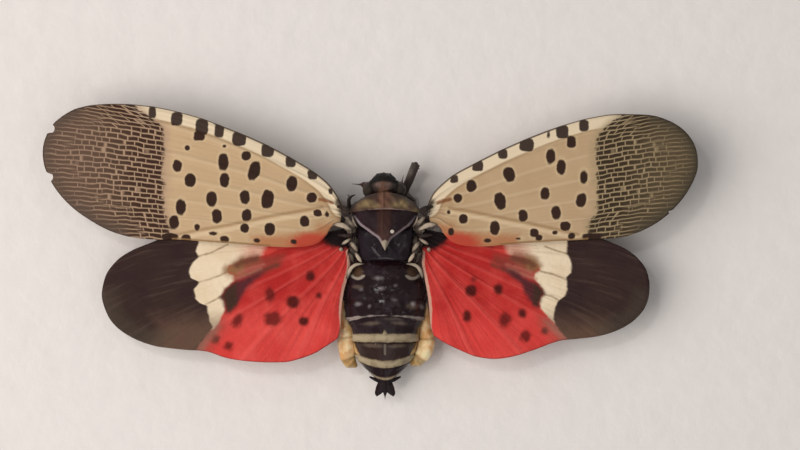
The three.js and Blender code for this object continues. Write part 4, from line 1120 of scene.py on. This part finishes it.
def make_head(material):
    """The head capsule: rays from one point run to a soft maximum of four ellipsoids' far sides.

    The soft maximum is the fourteenth root of the sum of the fourteenth powers.
    """
    origin = (HEAD_MIDDLE, 3.85, 2.42)
    rows, sides = 130, 160
    lie = np.linspace(0.02, math.pi - 0.02, rows)[:, None]
    turn = (np.arange(sides) / sides * 2 * math.pi)[None]
    ray = np.stack([np.sin(lie) * np.cos(turn), np.sin(lie) * np.sin(turn), np.cos(lie) + 0 * turn], -1)
    reaches = np.stack([far_side(ray, origin, at, size) for at, size in HEAD_LOBES])
    reach = (reaches**14).sum(0) ** (1 / 14)
    at = np.asarray(origin) + ray * reach[..., None]
    x, y, z = np.moveaxis(at, -1, 0)
    off = x - HEAD_MIDDLE
    to_eye = np.minimum.reduce([
        np.sqrt((((at - np.asarray(place)) / EYE_SIZE) ** 2).sum(-1)) - 1 for place in EYES.values()
    ])
    rim = 0.07 * bell(to_eye - 0.16, 0.1)
    top = step(2.9, 3.3, z)
    face = (1 - top) * step(4.0, 4.3, y)
    from_side_keel = np.abs(off) - 0.36 - 0.1 * (z - 2)
    keel = 0.08 * bell(off, 0.06) * step(1.3, 1.9, z) * face
    side_keels = 0.08 * bell(from_side_keel, 0.06) * face
    cap_line = -0.03 * bell(y - 4.14 + 0.25 * off**2, 0.06) * top
    rough = 0.02 * ripple(x + z, y + z * 0.7, 0.35, 19)
    grown = reach + rim + keel + side_keels + cap_line + rough
    at = np.asarray(origin) + ray * grown[..., None]
    x, y, z = np.moveaxis(at, -1, 0)
    spots = np.hypot((np.abs(off) - 0.4) / 1.1, y - 3.88)
    from_keels = np.minimum(np.abs(off), np.abs(np.abs(off) - 0.36 - 0.1 * (z - 2)))
    values = {
        "cap": np.minimum(y - 4.1 + 0.22 * off**2, z - 2.85), "face": np.minimum(y - 3.9, 2.95 - z),
        "face_keels": np.minimum.reduce([0.05 - from_keels, y - 4.0, 2.9 - z]),
        "pink": 0.2 - np.where(z > 2.8, spots, 9),
        "arc": 0.05 - np.where(z > 2.8, np.abs(spots - 0.3), 9), "middle": 0.35 - np.abs(off),
        "mouth": 1.35 - z, "eye_rim": 0.25 - to_eye,
    }
    return piece("head", skin_over(at), material, ["head"], ringed(values))


def spine(at, way, length, radius, sides=8):
    """A straight pointed thorn."""
    at = np.asarray(at, float)
    way = np.asarray(way, float) / np.linalg.norm(way)
    path = [at, at + way * length * 0.5, at + way * length]
    return tube(path, [radius, radius * 0.6, 0.012], sides, 6)


def claws(at, way):
    """A pair of curved claws and the pad between them at the end of a foot."""
    at = np.asarray(at, float)
    way = np.asarray(way, float) / np.linalg.norm(way)
    side = np.array([-way[1], way[0], 0])
    side /= np.linalg.norm(side) + 1e-9
    hooks = [
        tube([at, at + way * 0.12 + side * k * 0.09, at + way * 0.2 + side * k * 0.12 - [0, 0, 0.08]],
             [0.06, 0.045, 0.012], 8, 8)
        for k in (-1, 1)
    ]
    return [*hooks, egg(at + way * 0.05, (0.08, 0.08, 0.06), sides=12, rows=8)]


# Legs as the places that each joint's smooth path goes through
FORE_RIGHT = {
    "thigh": [(1.3, 1.9, 0.9), (1.75, 2.3, 0.75), (2.05, 2.7, 0.65)],
    "shin": [(2.05, 2.7, 0.65), (1.4, 3.3, 1.1), (1.75, 4.3, 1.55), (2.16, 5.33, 1.95)],
    "foot": [(2.16, 5.33, 1.95), (2.05, 5.1, 1.2), (1.85, 4.6, 0.6), (1.7, 4.1, 0.22)],
}
# The left foreleg is tucked under the collar, and its foot curls up beside it
FORE_LEFT = {
    "thigh": [(-1.3, 1.9, 0.9), (-1.5, 2.3, 0.95), (-1.68, 2.68, 1.05)],
    "shin": [(-1.68, 2.68, 1.05), (-2.15, 2.35, 0.75), (-2.75, 1.9, 0.5)],
    "foot": [(-2.75, 1.9, 0.5), (-2.6, 2.3, 0.95), (-2.6, 2.9, 1.35), (-2.1, 3.2, 1.4)],
}
MID = {
    "thigh": [(1.9, 0.8, 0.8), (3.1, 1.4, 1.1), (3.95, 1.95, 1.45)],
    "shin": [(3.95, 1.95, 1.45), (4.5, 0.4, 0.95), (5.0, -1.5, 0.35)],
    "foot": [(5.0, -1.5, 0.35), (5.15, -2.3, 0.2), (5.25, -3.2, 0.2)],
}
HIND = {
    "thigh": [(1.9, -0.4, 0.8), (3.1, -1.2, 1.1), (3.95, -1.75, 1.35)],
    "shin": [(3.95, -1.75, 1.35), (4.35, -3.5, 0.85), (4.6, -5.4, 0.35)],
    "foot": [(4.6, -5.4, 0.35), (4.65, -6.2, 0.2), (4.6, -7.0, 0.2)],
}
LEG_RADII = {
    "thigh": (0.3, 0.33, 0.3, 0.24, 0.19),
    "shin": (0.19, 0.25, 0.26, 0.27, 0.28, 0.28),
    "foot": (0.16, 0.18, 0.14, 0.16, 0.11, 0.09),
}
# The left forefoot as it shows, ending in a hook
HOOKED_FOOT = [
    (-2.75, 1.9, 0.55), (-2.55, 2.3, 0.95), (-2.56, 2.8, 1.3), (-2.4, 3.04, 1.4), (-2.1, 3.18, 1.42),
]
HOOKED_RADII = (0.15, 0.16, 0.14, 0.11, 0.03)
TUCKED_SLIM = 0.75  # how thick the tucked left foreleg is beside the others


def mirrored(joints):
    """The same leg on the left."""
    return {joint: [(-x, y, z) for x, y, z in path] for joint, path in joints.items()}


LEGS = {
    "foreleg_left": FORE_LEFT, "foreleg_right": FORE_RIGHT,
    "midleg_left": mirrored(MID), "midleg_right": MID,
    "hindleg_left": mirrored(HIND), "hindleg_right": HIND,
}


def make_leg(leg, joints, material):
    """Thigh, shin and foot as bars along smooth paths, with low ridges along the shin."""
    relief_of = {
        "thigh": lambda u, a: 1 + 0.04 * np.cos(3 * a),
        "shin": lambda u, a: 1 + 0.09 * np.cos(4 * a) * step(0, 0.1, u) + 0.02 * np.sin(u * 90),
        "foot": lambda u, a: 1 - 0.2 * bell(u * 3 % 1 - 0.5, 0.08) + 0 * a,
    }
    for joint, path in joints.items():
        slim = TUCKED_SLIM if leg == "foreleg_left" else 1
        parts = [tube(path, np.multiply(LEG_RADII[joint], slim), 24, 60, bumps=relief_of[joint])]
        if joint == "foot" and leg == "foreleg_left":
            parts = [tube(HOOKED_FOOT, HOOKED_RADII, 20, 50)]
            parts.append(spine((-2.5, 3.05, 1.38), (-0.8, 0.8, 0), 0.2, 0.06))
        elif joint == "foot":
            parts += claws(path[-1], np.subtract(path[-1], path[-2]))
        elif joint == "shin":
            shares = (0.35, 0.55, 0.75, 0.95) if leg.startswith("hind") else (0.96,)
            for at in smooth_path(path, shares):
                parts.append(spine(at, (math.copysign(1, at[0]), -0.7, 0.15), 0.4, 0.08))
        piece(f"{leg}_{joint}", joined(parts), material, [f"{leg}_{joint}"])


def make_antenna(side, path, material):
    """A swollen second joint on a short stalk, and a bristle that tapers to a hair."""
    path = np.asarray(path, float)

    def pits(u, a):
        return 1 + 0.05 * np.sin(a * 7) * np.sin(u * 40) * step(0.1, 0.3, u) * step(0.75, 0.5, u)

    bulb = tube(path, (0.13, 0.22, 0.27, 0.25, 0.17, 0.08, 0.05), 28, 50, bumps=pits)
    way = path[-1] - path[-2]
    tip = path[-1]
    bristle = tube([tip - way * 0.2, tip + way * 0.9, tip + way * 1.9 + [0, 0, 0.05]],
                   (0.045, 0.025, 0.01), 8, 16)
    return piece("antenna_" + side, joined([bulb, bristle]), material, ["antenna_" + side])


# The antennae's paths from the cheek outwards
FEELERS = {
    "left": [(-1.15, 3.66, 1.92), (-1.34, 3.79, 1.88), (-1.56, 3.88, 1.9), (-1.84, 3.9, 1.95)],
    "right": [(0.98, 3.62, 1.95), (1.08, 3.76, 1.9), (1.15, 3.94, 1.88), (1.2, 4.15, 1.86)],
}


def make_hinges(side, material):
    """The scale over the forewing's root and the plates, knobs and struts of both hinges.

    Each part is a tube through its points with its radii, or an egg, and has its own pale value
    from -1 to 1. A tube shows it along its top only, fading towards its ends: painted highlight.
    """
    sign = -1 if side == "left" else 1

    def bar(path, radii, pale):
        sides, steps = 18, 36
        # Painted highlight: the top of a bar is paler than its sides, and fades towards its ends
        crest = step(-0.3, 0.9, np.sin(np.arange(sides) / sides * 2 * math.pi))[None]
        middle = np.sin(np.linspace(0, 1, steps) * math.pi)[:, None] ** 0.5
        paleness_and_highlight = -1 + (pale + 1) * crest * middle
        shape = tube([(sign * x, y, z) for x, y, z in path], radii, sides, steps, flat=0.7)
        return shape, np.append(paleness_and_highlight.ravel(), [-1, -1])

    def lump(at, size, pale):
        def rough(ray):
            return 0.03 * ripple(ray[..., 0] * 2, ray[..., 1] * 2, 0.9, 29)

        shape = egg((sign * at[0], at[1], at[2]), size, sides=48, rows=32, relief=rough)
        return shape, np.full(len(shape[0]), pale)

    hinges = {
        "tegula": [lump((2.74, 1.98, 4.14), (0.3, 0.36, 0.09), -0.75)],
        "fore_hinge": [
            lump((2.4, 1.02, 3.56), (0.46, 0.6, 0.3), -0.5),
            bar([(3.65, 1.1, 3.85), (2.95, 1.02, 3.9), (2.3, 0.66, 3.8)],
                (0.03, 0.17, 0.19, 0.14, 0.04), 0.75),
            bar([(2.95, 1.8, 3.95), (2.5, 1.35, 3.98), (2.05, 0.8, 3.8)],
                (0.05, 0.15, 0.17, 0.05), -0.1),
            bar([(2.3, 1.75, 4.0), (2.2, 1.3, 3.95), (1.95, 0.9, 3.85)], (0.04, 0.09, 0.04), 0.2),
            bar([(2.5, 2.1, 4.05), (2.9, 2.25, 3.95), (3.35, 2.35, 3.85)], (0.12, 0.17, 0.08), -1),
            bar([(2.3, 0.35, 3.5), (2.7, 0.3, 3.6), (3.3, 0.35, 3.5)], (0.07, 0.14, 0.05), -0.8),
        ],
        "hind_hinge": [
            lump((2.12, -0.55, 2.94), (0.34, 0.8, 0.32), -0.5),
            bar([(3.05, -0.32, 3.35), (2.7, -0.1, 3.5), (2.35, 0.12, 3.5)],
                (0.05, 0.12, 0.11, 0.04), 0.35),
            lump((3.07, -0.66, 3.18), (0.11, 0.14, 0.1), 0.55),
            bar([(2.45, -0.12, 3.4), (2.15, -0.45, 3.55), (1.9, -0.85, 3.5)],
                (0.05, 0.17, 0.14, 0.04), 0.1),
            bar([(2.08, -0.85, 3.45), (1.88, -1.2, 3.5), (1.62, -1.58, 3.4)],
                (0.04, 0.13, 0.13, 0.04), 0.9),
            bar([(2.6, -0.8, 3.1), (2.35, -1.15, 3.25), (2.2, -1.6, 3.1)],
                (0.05, 0.15, 0.15, 0.04), -0.5),
            bar([(1.45, -1.66, 3.3), (2.05, -1.74, 3.2), (2.42, -2.05, 3.05), (2.66, -2.7, 2.95)],
                (0.05, 0.12, 0.14, 0.08), 0.6),
        ],
    }
    for name, parts in hinges.items():
        shapes, paleness_and_highlight = zip(*parts)
        values = {"pale": np.concatenate(paleness_and_highlight)}
        piece(f"{name}_{side}", joined(shapes), material, [f"{name}_{side}"], values)


# The side folds' middles from front to rear, and their radii at equal shares of the way
FOLDS = {
    "left": [(-2.8, -4.25, 1.9), (-2.86, -5.2, 1.85), (-2.8, -6.1, 1.7), (-2.72, -7.0, 1.6),
             (-2.7, -7.7, 1.55), (-2.56, -8.42, 1.45), (-2.0, -8.92, 1.4)],
    "right": [(2.85, -4.45, 1.9), (2.9, -5.3, 1.85), (2.87, -6.2, 1.7), (2.95, -7.0, 1.6),
              (2.8, -7.7, 1.55), (2.4, -8.35, 1.45), (1.85, -8.8, 1.4)],
}
FOLD_RADII = (0.1, 0.18, 0.26, 0.38, 0.52, 0.6, 0.6, 0.56, 0.53, 0.49, 0.12)
CREASES = (0.52, 0.83)  # as shares of the fold's length


def make_fold(side, path, material):
    """Swollen skin between the back and belly plates: a bulging bar with two creases."""

    def creased(u, a):
        pinch = sum(bell(u - c - 0.03 * np.sin(a), 0.03) for c in CREASES)
        lumps = 0.06 * np.sin(a * 2 + u * 11) + 0.03 * np.sin(a * 3 - u * 23)
        return 1 - 0.09 * pinch + lumps + 0.012 * np.sin(u * 60 + 3 * np.cos(a * 2))

    sides, steps = 80, 130
    shape = tube(path, FOLD_RADII, sides, steps, flat=0.95, bumps=creased)
    u = np.linspace(0, 1, steps)[:, None] + np.zeros(sides)
    at = shape[0][:steps * sides].reshape(steps, sides, 3)
    values = {
        # painted highlight: a pale patch on the right fold's last lobe where the shine falls
        "painted_gleam": 0.36 - np.hypot(at[..., 0] - 2.9, at[..., 1] + 8.05),
        # painted shade: the skin is darker in the creases
        "crease": 0.02 - np.minimum.reduce([np.abs(u - c) for c in CREASES]),
        "last": u - CREASES[-1],
    }
    return piece("side_fold_" + side, shape, material, ["side_fold_" + side], ringed(values))


TAIL_LEVEL = 1.55
FAN_START = -9.85
# The rear edge's y at shares of the way from the middle to each side
FAN_REAR = ((0, 0.06, 0.2, 0.55, 0.85, 1.0), (-11.24, -11.0, -10.72, -10.9, -11.02, -10.85))
# Half widths at distances behind the frame's origin
FAN_HALF = ((9.85, 10.1, 10.35, 10.7, 10.95, 11.25), (0.42, 0.54, 0.64, 0.72, 0.7, 0.62))


def make_tail(material):
    """Two thin arms and the fan of the last flap.

    The fan's half width follows its outline along y, its rear edge is notched on each side of a
    middle point, and its top is ridged along the middle.
    """
    t = np.linspace(-1, 1, 81)[None]  # from side to side
    s = np.linspace(0, 1, 50)[:, None]  # from front to rear
    y = FAN_START + s * (np.interp(np.abs(t), *FAN_REAR) - FAN_START)
    x = t * np.interp(-y, *FAN_HALF)
    thick = 0.24 * (1 - 0.75 * np.abs(t) ** 3) * (1 - 0.6 * s**3) + 0.05 * bell(x, 0.06)
    top = TAIL_LEVEL + thick + 0.012 * ripple(x, y, 0.25, 37)
    fan = slab(np.stack([x, y, top], -1), np.stack([x, y, TAIL_LEVEL - thick], -1))
    arms = [
        tube([(0, -9.9, TAIL_LEVEL), (k * 0.5, -9.88, TAIL_LEVEL), (k * 1.1, -9.62, TAIL_LEVEL)],
             (0.2, 0.16, 0.12, 0.06), 16, 24)
        for k in (-1, 1)
    ]
    return piece("anal_flap", joined([fan, *arms]), material, ["anal_flap"])


def make_beak(material):
    """The beak laid back between the front legs, pinched at its joints and grooved below."""
    path = [(HEAD_MIDDLE, 3.6, 0.85), (0, 2.9, 0.5), (0, 2.4, 0.35), (0, 1.7, 0.2)]

    def joints(u, a):
        return 1 - 0.12 * bell(u * 3 % 1 - 0.9, 0.06) - 0.15 * bell(a - 4.7, 0.25)

    shape = tube(path, (0.27, 0.25, 0.22, 0.1), 24, 60, bumps=joints)
    return piece("beak", shape, material, ["beak"])


FRAY = 2.5  # grain of the noise that frays a marking's edge, for each millimetre


def shell_finish(name, ground, bloom, markings, shine=0.25):
    """Hard shell: glossy, finely wrinkled, with a dull wax bloom in patches.

    markings are (colour, attribute, soft edge, wobble, strength), the last on top.
    """
    material, tree, shader, where = finish(name, shine, Specular_IOR_Level=0.3)
    soft, fine = (
        add(tree, "ShaderNodeTexNoise", {"Vector": where, "Scale": scale, "Detail": 2}).outputs["Fac"]
        for scale in (1.1, 5)
    )
    patchy = add(tree, "ShaderNodeMapRange", {"Value": soft, "From Min": 0.46, "From Max": 0.7})
    waxy = patchy.outputs[0]
    dull = add(tree, "ShaderNodeMapRange", {"Value": waxy, "To Min": shine, "To Max": shine + 0.25})
    tree.links.new(dull.outputs[0], shader.inputs["Roughness"])
    coats = [(bloom, waxy, fine, 0.9)]
    coats += [(tint, (key, edge, wobble, FRAY), share) for tint, key, edge, wobble, share in markings]
    paint(tree, shader, where, ground, coats)
    relief(tree, shader, [(soft, 0.05), (fine, 0.007)])
    return material


abdomen_shell = shell_finish("black_shell_rings", "#1d0e12", "#33262c", [
    ("#33231d", "ring_five", 0.2, 0.1, 0.7), ("#4f3a2a", "brown", 0.15, 0.1, 0.8),
    ("#6a5b4d", "smear", 0.1, 0.1, 0.55), ("#a3978a", "crescent", 0.06, 0.05, 0.8),
    # painted_glint is painted highlight: pale flecks where the shell shines
    ("#8d8486", "painted_glint", 0.12, 0.12, 0.6), ("#9a8d86", "line", 0.05, 0.05, 0.85),
    ("#a39786", "thread", 0.05, 0.0, 0.7), ("#c29e6c", "side", 0.08, 0.12, 0.95),
    ("#3d3026", "pale_rim", 0.05, 0.06, 0.7), ("#83745c", "pale", 0.05, 0.08, 1.0),
    ("#ad9d81", "pale_core", 0.12, 0.25, 0.7),
], 0.2)
black_shell = shell_finish("black_shell", "#1a0d10", "#2b2226", [], 0.3)
metanotum_shell = shell_finish("metanotum_shell", "#170c13", "#231922", [
    # lip: grey painted highlights on the rear lip and the left field
    ("#5c5558", "lip", 0.05, 0.05, 0.6),
], 0.3)
pronotum_shell = shell_finish("pronotum_shell", "#453229", "#705c4c", [
    ("#6f4d3c", "middle", 0.3, 0.15, 0.75), ("#8a7652", "olive", 0.2, 0.16, 0.75),
    # front is partly the dark rim, partly painted shade beside the eyes
    ("#241a16", "front", 0.2, 0.1, 0.5), ("#1f1512", "keel", 0.03, 0.01, 0.7),
    # the pale border coat is painted highlight on the rear edge
    ("#93807b", "border", 0.05, 0.05, 0.75), ("#1f1815", "rim", 0.03, 0.02, 0.8),
], 0.45)
mesonotum_shell = shell_finish("mesonotum_shell", "#201216", "#33252a", [
    ("#3a211b", "middle", 0.3, 0.1, 0.85), ("#4d3128", "keel", 0.05, 0.02, 0.6),
    ("#47302a", "rear", 0.3, 0.1, 0.5), ("#93868b", "border", 0.06, 0.05, 0.9),
    ("#9c907e", "tip", 0.06, 0.05, 0.95), ("#0c0808", "dot_ring", 0.03, 0.0, 1.0),
    ("#e0d2c6", "dot", 0.03, 0.0, 1.0),
], 0.38)
head_shell = shell_finish("head_shell", "#251b18", "#342924", [
    ("#6a4a3b", "middle", 0.25, 0.1, 0.8), ("#6e5a55", "pink", 0.15, 0.12, 0.7),
    ("#4a443f", "arc", 0.06, 0.04, 0.4), ("#4a342a", "face", 0.15, 0.2, 0.85),
    ("#8a6f5c", "face_keels", 0.04, 0.03, 0.7), ("#121110", "cap", 0.1, 0.08, 0.97),
    ("#171210", "eye_rim", 0.1, 0.03, 0.7), ("#1c1613", "mouth", 0.4, 0.1, 0.8),
], 0.5)
hinge_shell = shell_finish("hinge_plates", "#261c19", "#4a3d36", [
    # pale carries each part's own pale tone and the painted highlight along the top of the bars
    ("#b0a08d", "pale", 0.8, 0.6, 1.0),
], 0.4)


def eye_finish():
    """Compound eye: dark brown glass with a fine grid of facets."""
    material, tree, shader, where = finish("eye_facets", 0.2, Specular_IOR_Level=0.35)
    facets = add(tree, "ShaderNodeTexVoronoi", {"Vector": where, "Scale": 16, "Randomness": 0.15})
    cloud = add(tree, "ShaderNodeTexNoise", {"Vector": where, "Scale": 2, "Detail": 2}).outputs["Fac"]
    paint(tree, shader, where, "#241c16", [("#3d332b", cloud, 0.6)])
    relief(tree, shader, [(facets.outputs["Distance"], -0.03)])
    return material


def skin_finish(name, ground, blotch, mottle, roughness, scatter, markings=()):
    """Soft skin that light enters: waxy, blotched with one colour and finely mottled with another.

    blotch and mottle are (colour, strength), and markings are (colour, attribute, soft edge,
    strength), the last on top.
    """
    material, tree, shader, where = finish(
        name, roughness, Subsurface_Weight=scatter, Subsurface_Scale=0.0004, Coat_Weight=0.3
    )
    soft = add(tree, "ShaderNodeTexNoise", {"Vector": where, "Scale": 1.3, "Detail": 4}).outputs["Fac"]
    fine = add(tree, "ShaderNodeTexNoise", {"Vector": where, "Scale": 6, "Detail": 2}).outputs["Fac"]
    patches = add(tree, "ShaderNodeMapRange", {"Value": soft, "From Min": 0.4, "From Max": 0.65})
    coats = [(blotch[0], patches.outputs[0], blotch[1]), (mottle[0], fine, mottle[1])]
    coats += [(tint, (key, edge, edge, FRAY), share) for tint, key, edge, share in markings]
    paint(tree, shader, where, ground, coats)
    relief(tree, shader, [(soft, 0.1), (fine, 0.02)])
    return material


# The painted_gleam coat is a painted highlight on the right fold.
fold_skin = skin_finish(
    "swollen_membrane", "#cf9f66", ("#f4e2b4", 0.9), ("#b88a50", 0.25), 0.26, 0.35,
    # crease is painted shade in the creases
    [("#8f6536", "crease", 0.02, 0.6), ("#8a7444", "last", 0.04, 0.6), ("#f8ecbe", "painted_gleam", 0.2, 0.75)],
)
antenna_skin = skin_finish("antenna_bulb", "#33201b", ("#211815", 0.8), ("#6b3a28", 0.3), 0.45, 0.1)
leg_shell = shell_finish("leg_shell", "#433a36", "#83786f", [], 0.34)

make_thorax(black_shell)
make_abdomen(abdomen_shell)
make_pronotum(pronotum_shell)
make_mesonotum(mesonotum_shell)
make_metanotum(metanotum_shell)
make_head(head_shell)
eye_glass = eye_finish()
for side, at in EYES.items():
    piece("eye_" + side, egg(at, EYE_SIZE, sides=72, rows=48), eye_glass, ["eye_" + side])
for side, path in FEELERS.items():
    make_antenna(side, path, antenna_skin)
for side in ("left", "right"):
    make_hinges(side, hinge_shell)
    make_fold(side, FOLDS[side], fold_skin)
make_tail(black_shell)
make_beak(leg_shell)
for leg, joints in LEGS.items():
    make_leg(leg, joints, leg_shell)

# Floor, light and camera, in metres

FLOOR_REACH = 0.6

def floor_material():
    """Matt pale board with a faint fibre."""
    material, tree, shader, where = finish("pale_board", 0.9)
    fibre = add(tree, "ShaderNodeTexNoise", {"Vector": where, "Scale": 0.6, "Detail": 5})
    paint(tree, shader, where, "#e6e2df", [("#d6d1cf", fibre.outputs["Fac"], 0.4)])
    relief(tree, shader, [(fibre.outputs["Fac"], 0.1)])
    return material


floor_mesh = bpy.data.meshes.new("floor")
floor_corners = [(x * FLOOR_REACH, y * FLOOR_REACH, 0) for x, y in ((-1, -1), (1, -1), (1, 1), (-1, 1))]
floor_mesh.from_pydata(floor_corners, [], [(0, 1, 2, 3)])
floor_mesh.materials.append(floor_material())
floor = bpy.data.objects.new("floor", floor_mesh)
bpy.context.scene.collection.objects.link(floor)


def lamp(name, at, size, watts, tint="#ffffff", in_gloss=True):
    """A square light aimed at the insect. Gloss can leave out its image."""
    light = bpy.data.lights.new(name, "AREA")
    light.size = size
    light.energy = watts
    light.color = colour(tint)[:3]
    thing = bpy.data.objects.new(name, light)
    thing.location = at
    thing.visible_glossy = in_gloss
    x, y, z = at
    thing.rotation_euler = (math.atan2(math.hypot(x, y), z), 0, math.atan2(x, -y) if (x or y) else 0)
    bpy.context.scene.collection.objects.link(thing)


lamp("key_panel", (-0.20, -0.02, 0.20), 0.28, 0.83, "#fff8f2", in_gloss=False)
lamp("fill_panel", (0.05, -0.22, 0.34), 0.30, 0.15)
lamp("glint_lamp_left", (-0.12, 0.12, 0.38), 0.03, 0.13)
lamp("glint_lamp_right", (0.13, 0.03, 0.40), 0.04, 0.05)
world = bpy.data.worlds.new("studio")
world.use_nodes = True
world.node_tree.nodes["Background"].inputs["Color"].default_value = colour("#f4f2f0")
world.node_tree.nodes["Background"].inputs["Strength"].default_value = 0.3
bpy.context.scene.world = world
bpy.context.scene.view_settings.view_transform = "Standard"

# The camera looks straight down, in millimetres. The picture spans 56 mm at the wings' level.
PIXEL = 0.07
PICTURE_WIDTH = 800 * PIXEL
CENTRE = 15 * PIXEL  # the picture's middle lies this far in front and to the right of the origin
CAMERA_HEIGHT = 350.0
WING_LEVEL = 3.2
SENSOR = 36.0
camera_data = bpy.data.cameras.new("overhead")
camera_data.sensor_width = SENSOR
camera_data.lens = SENSOR * CAMERA_HEIGHT / PICTURE_WIDTH
camera_data.clip_start = 0.01
camera = bpy.data.objects.new("overhead", camera_data)
camera.location = (CENTRE * MM, CENTRE * MM, (CAMERA_HEIGHT + WING_LEVEL) * MM)
bpy.context.scene.collection.objects.link(camera)
bpy.context.scene.camera = camera
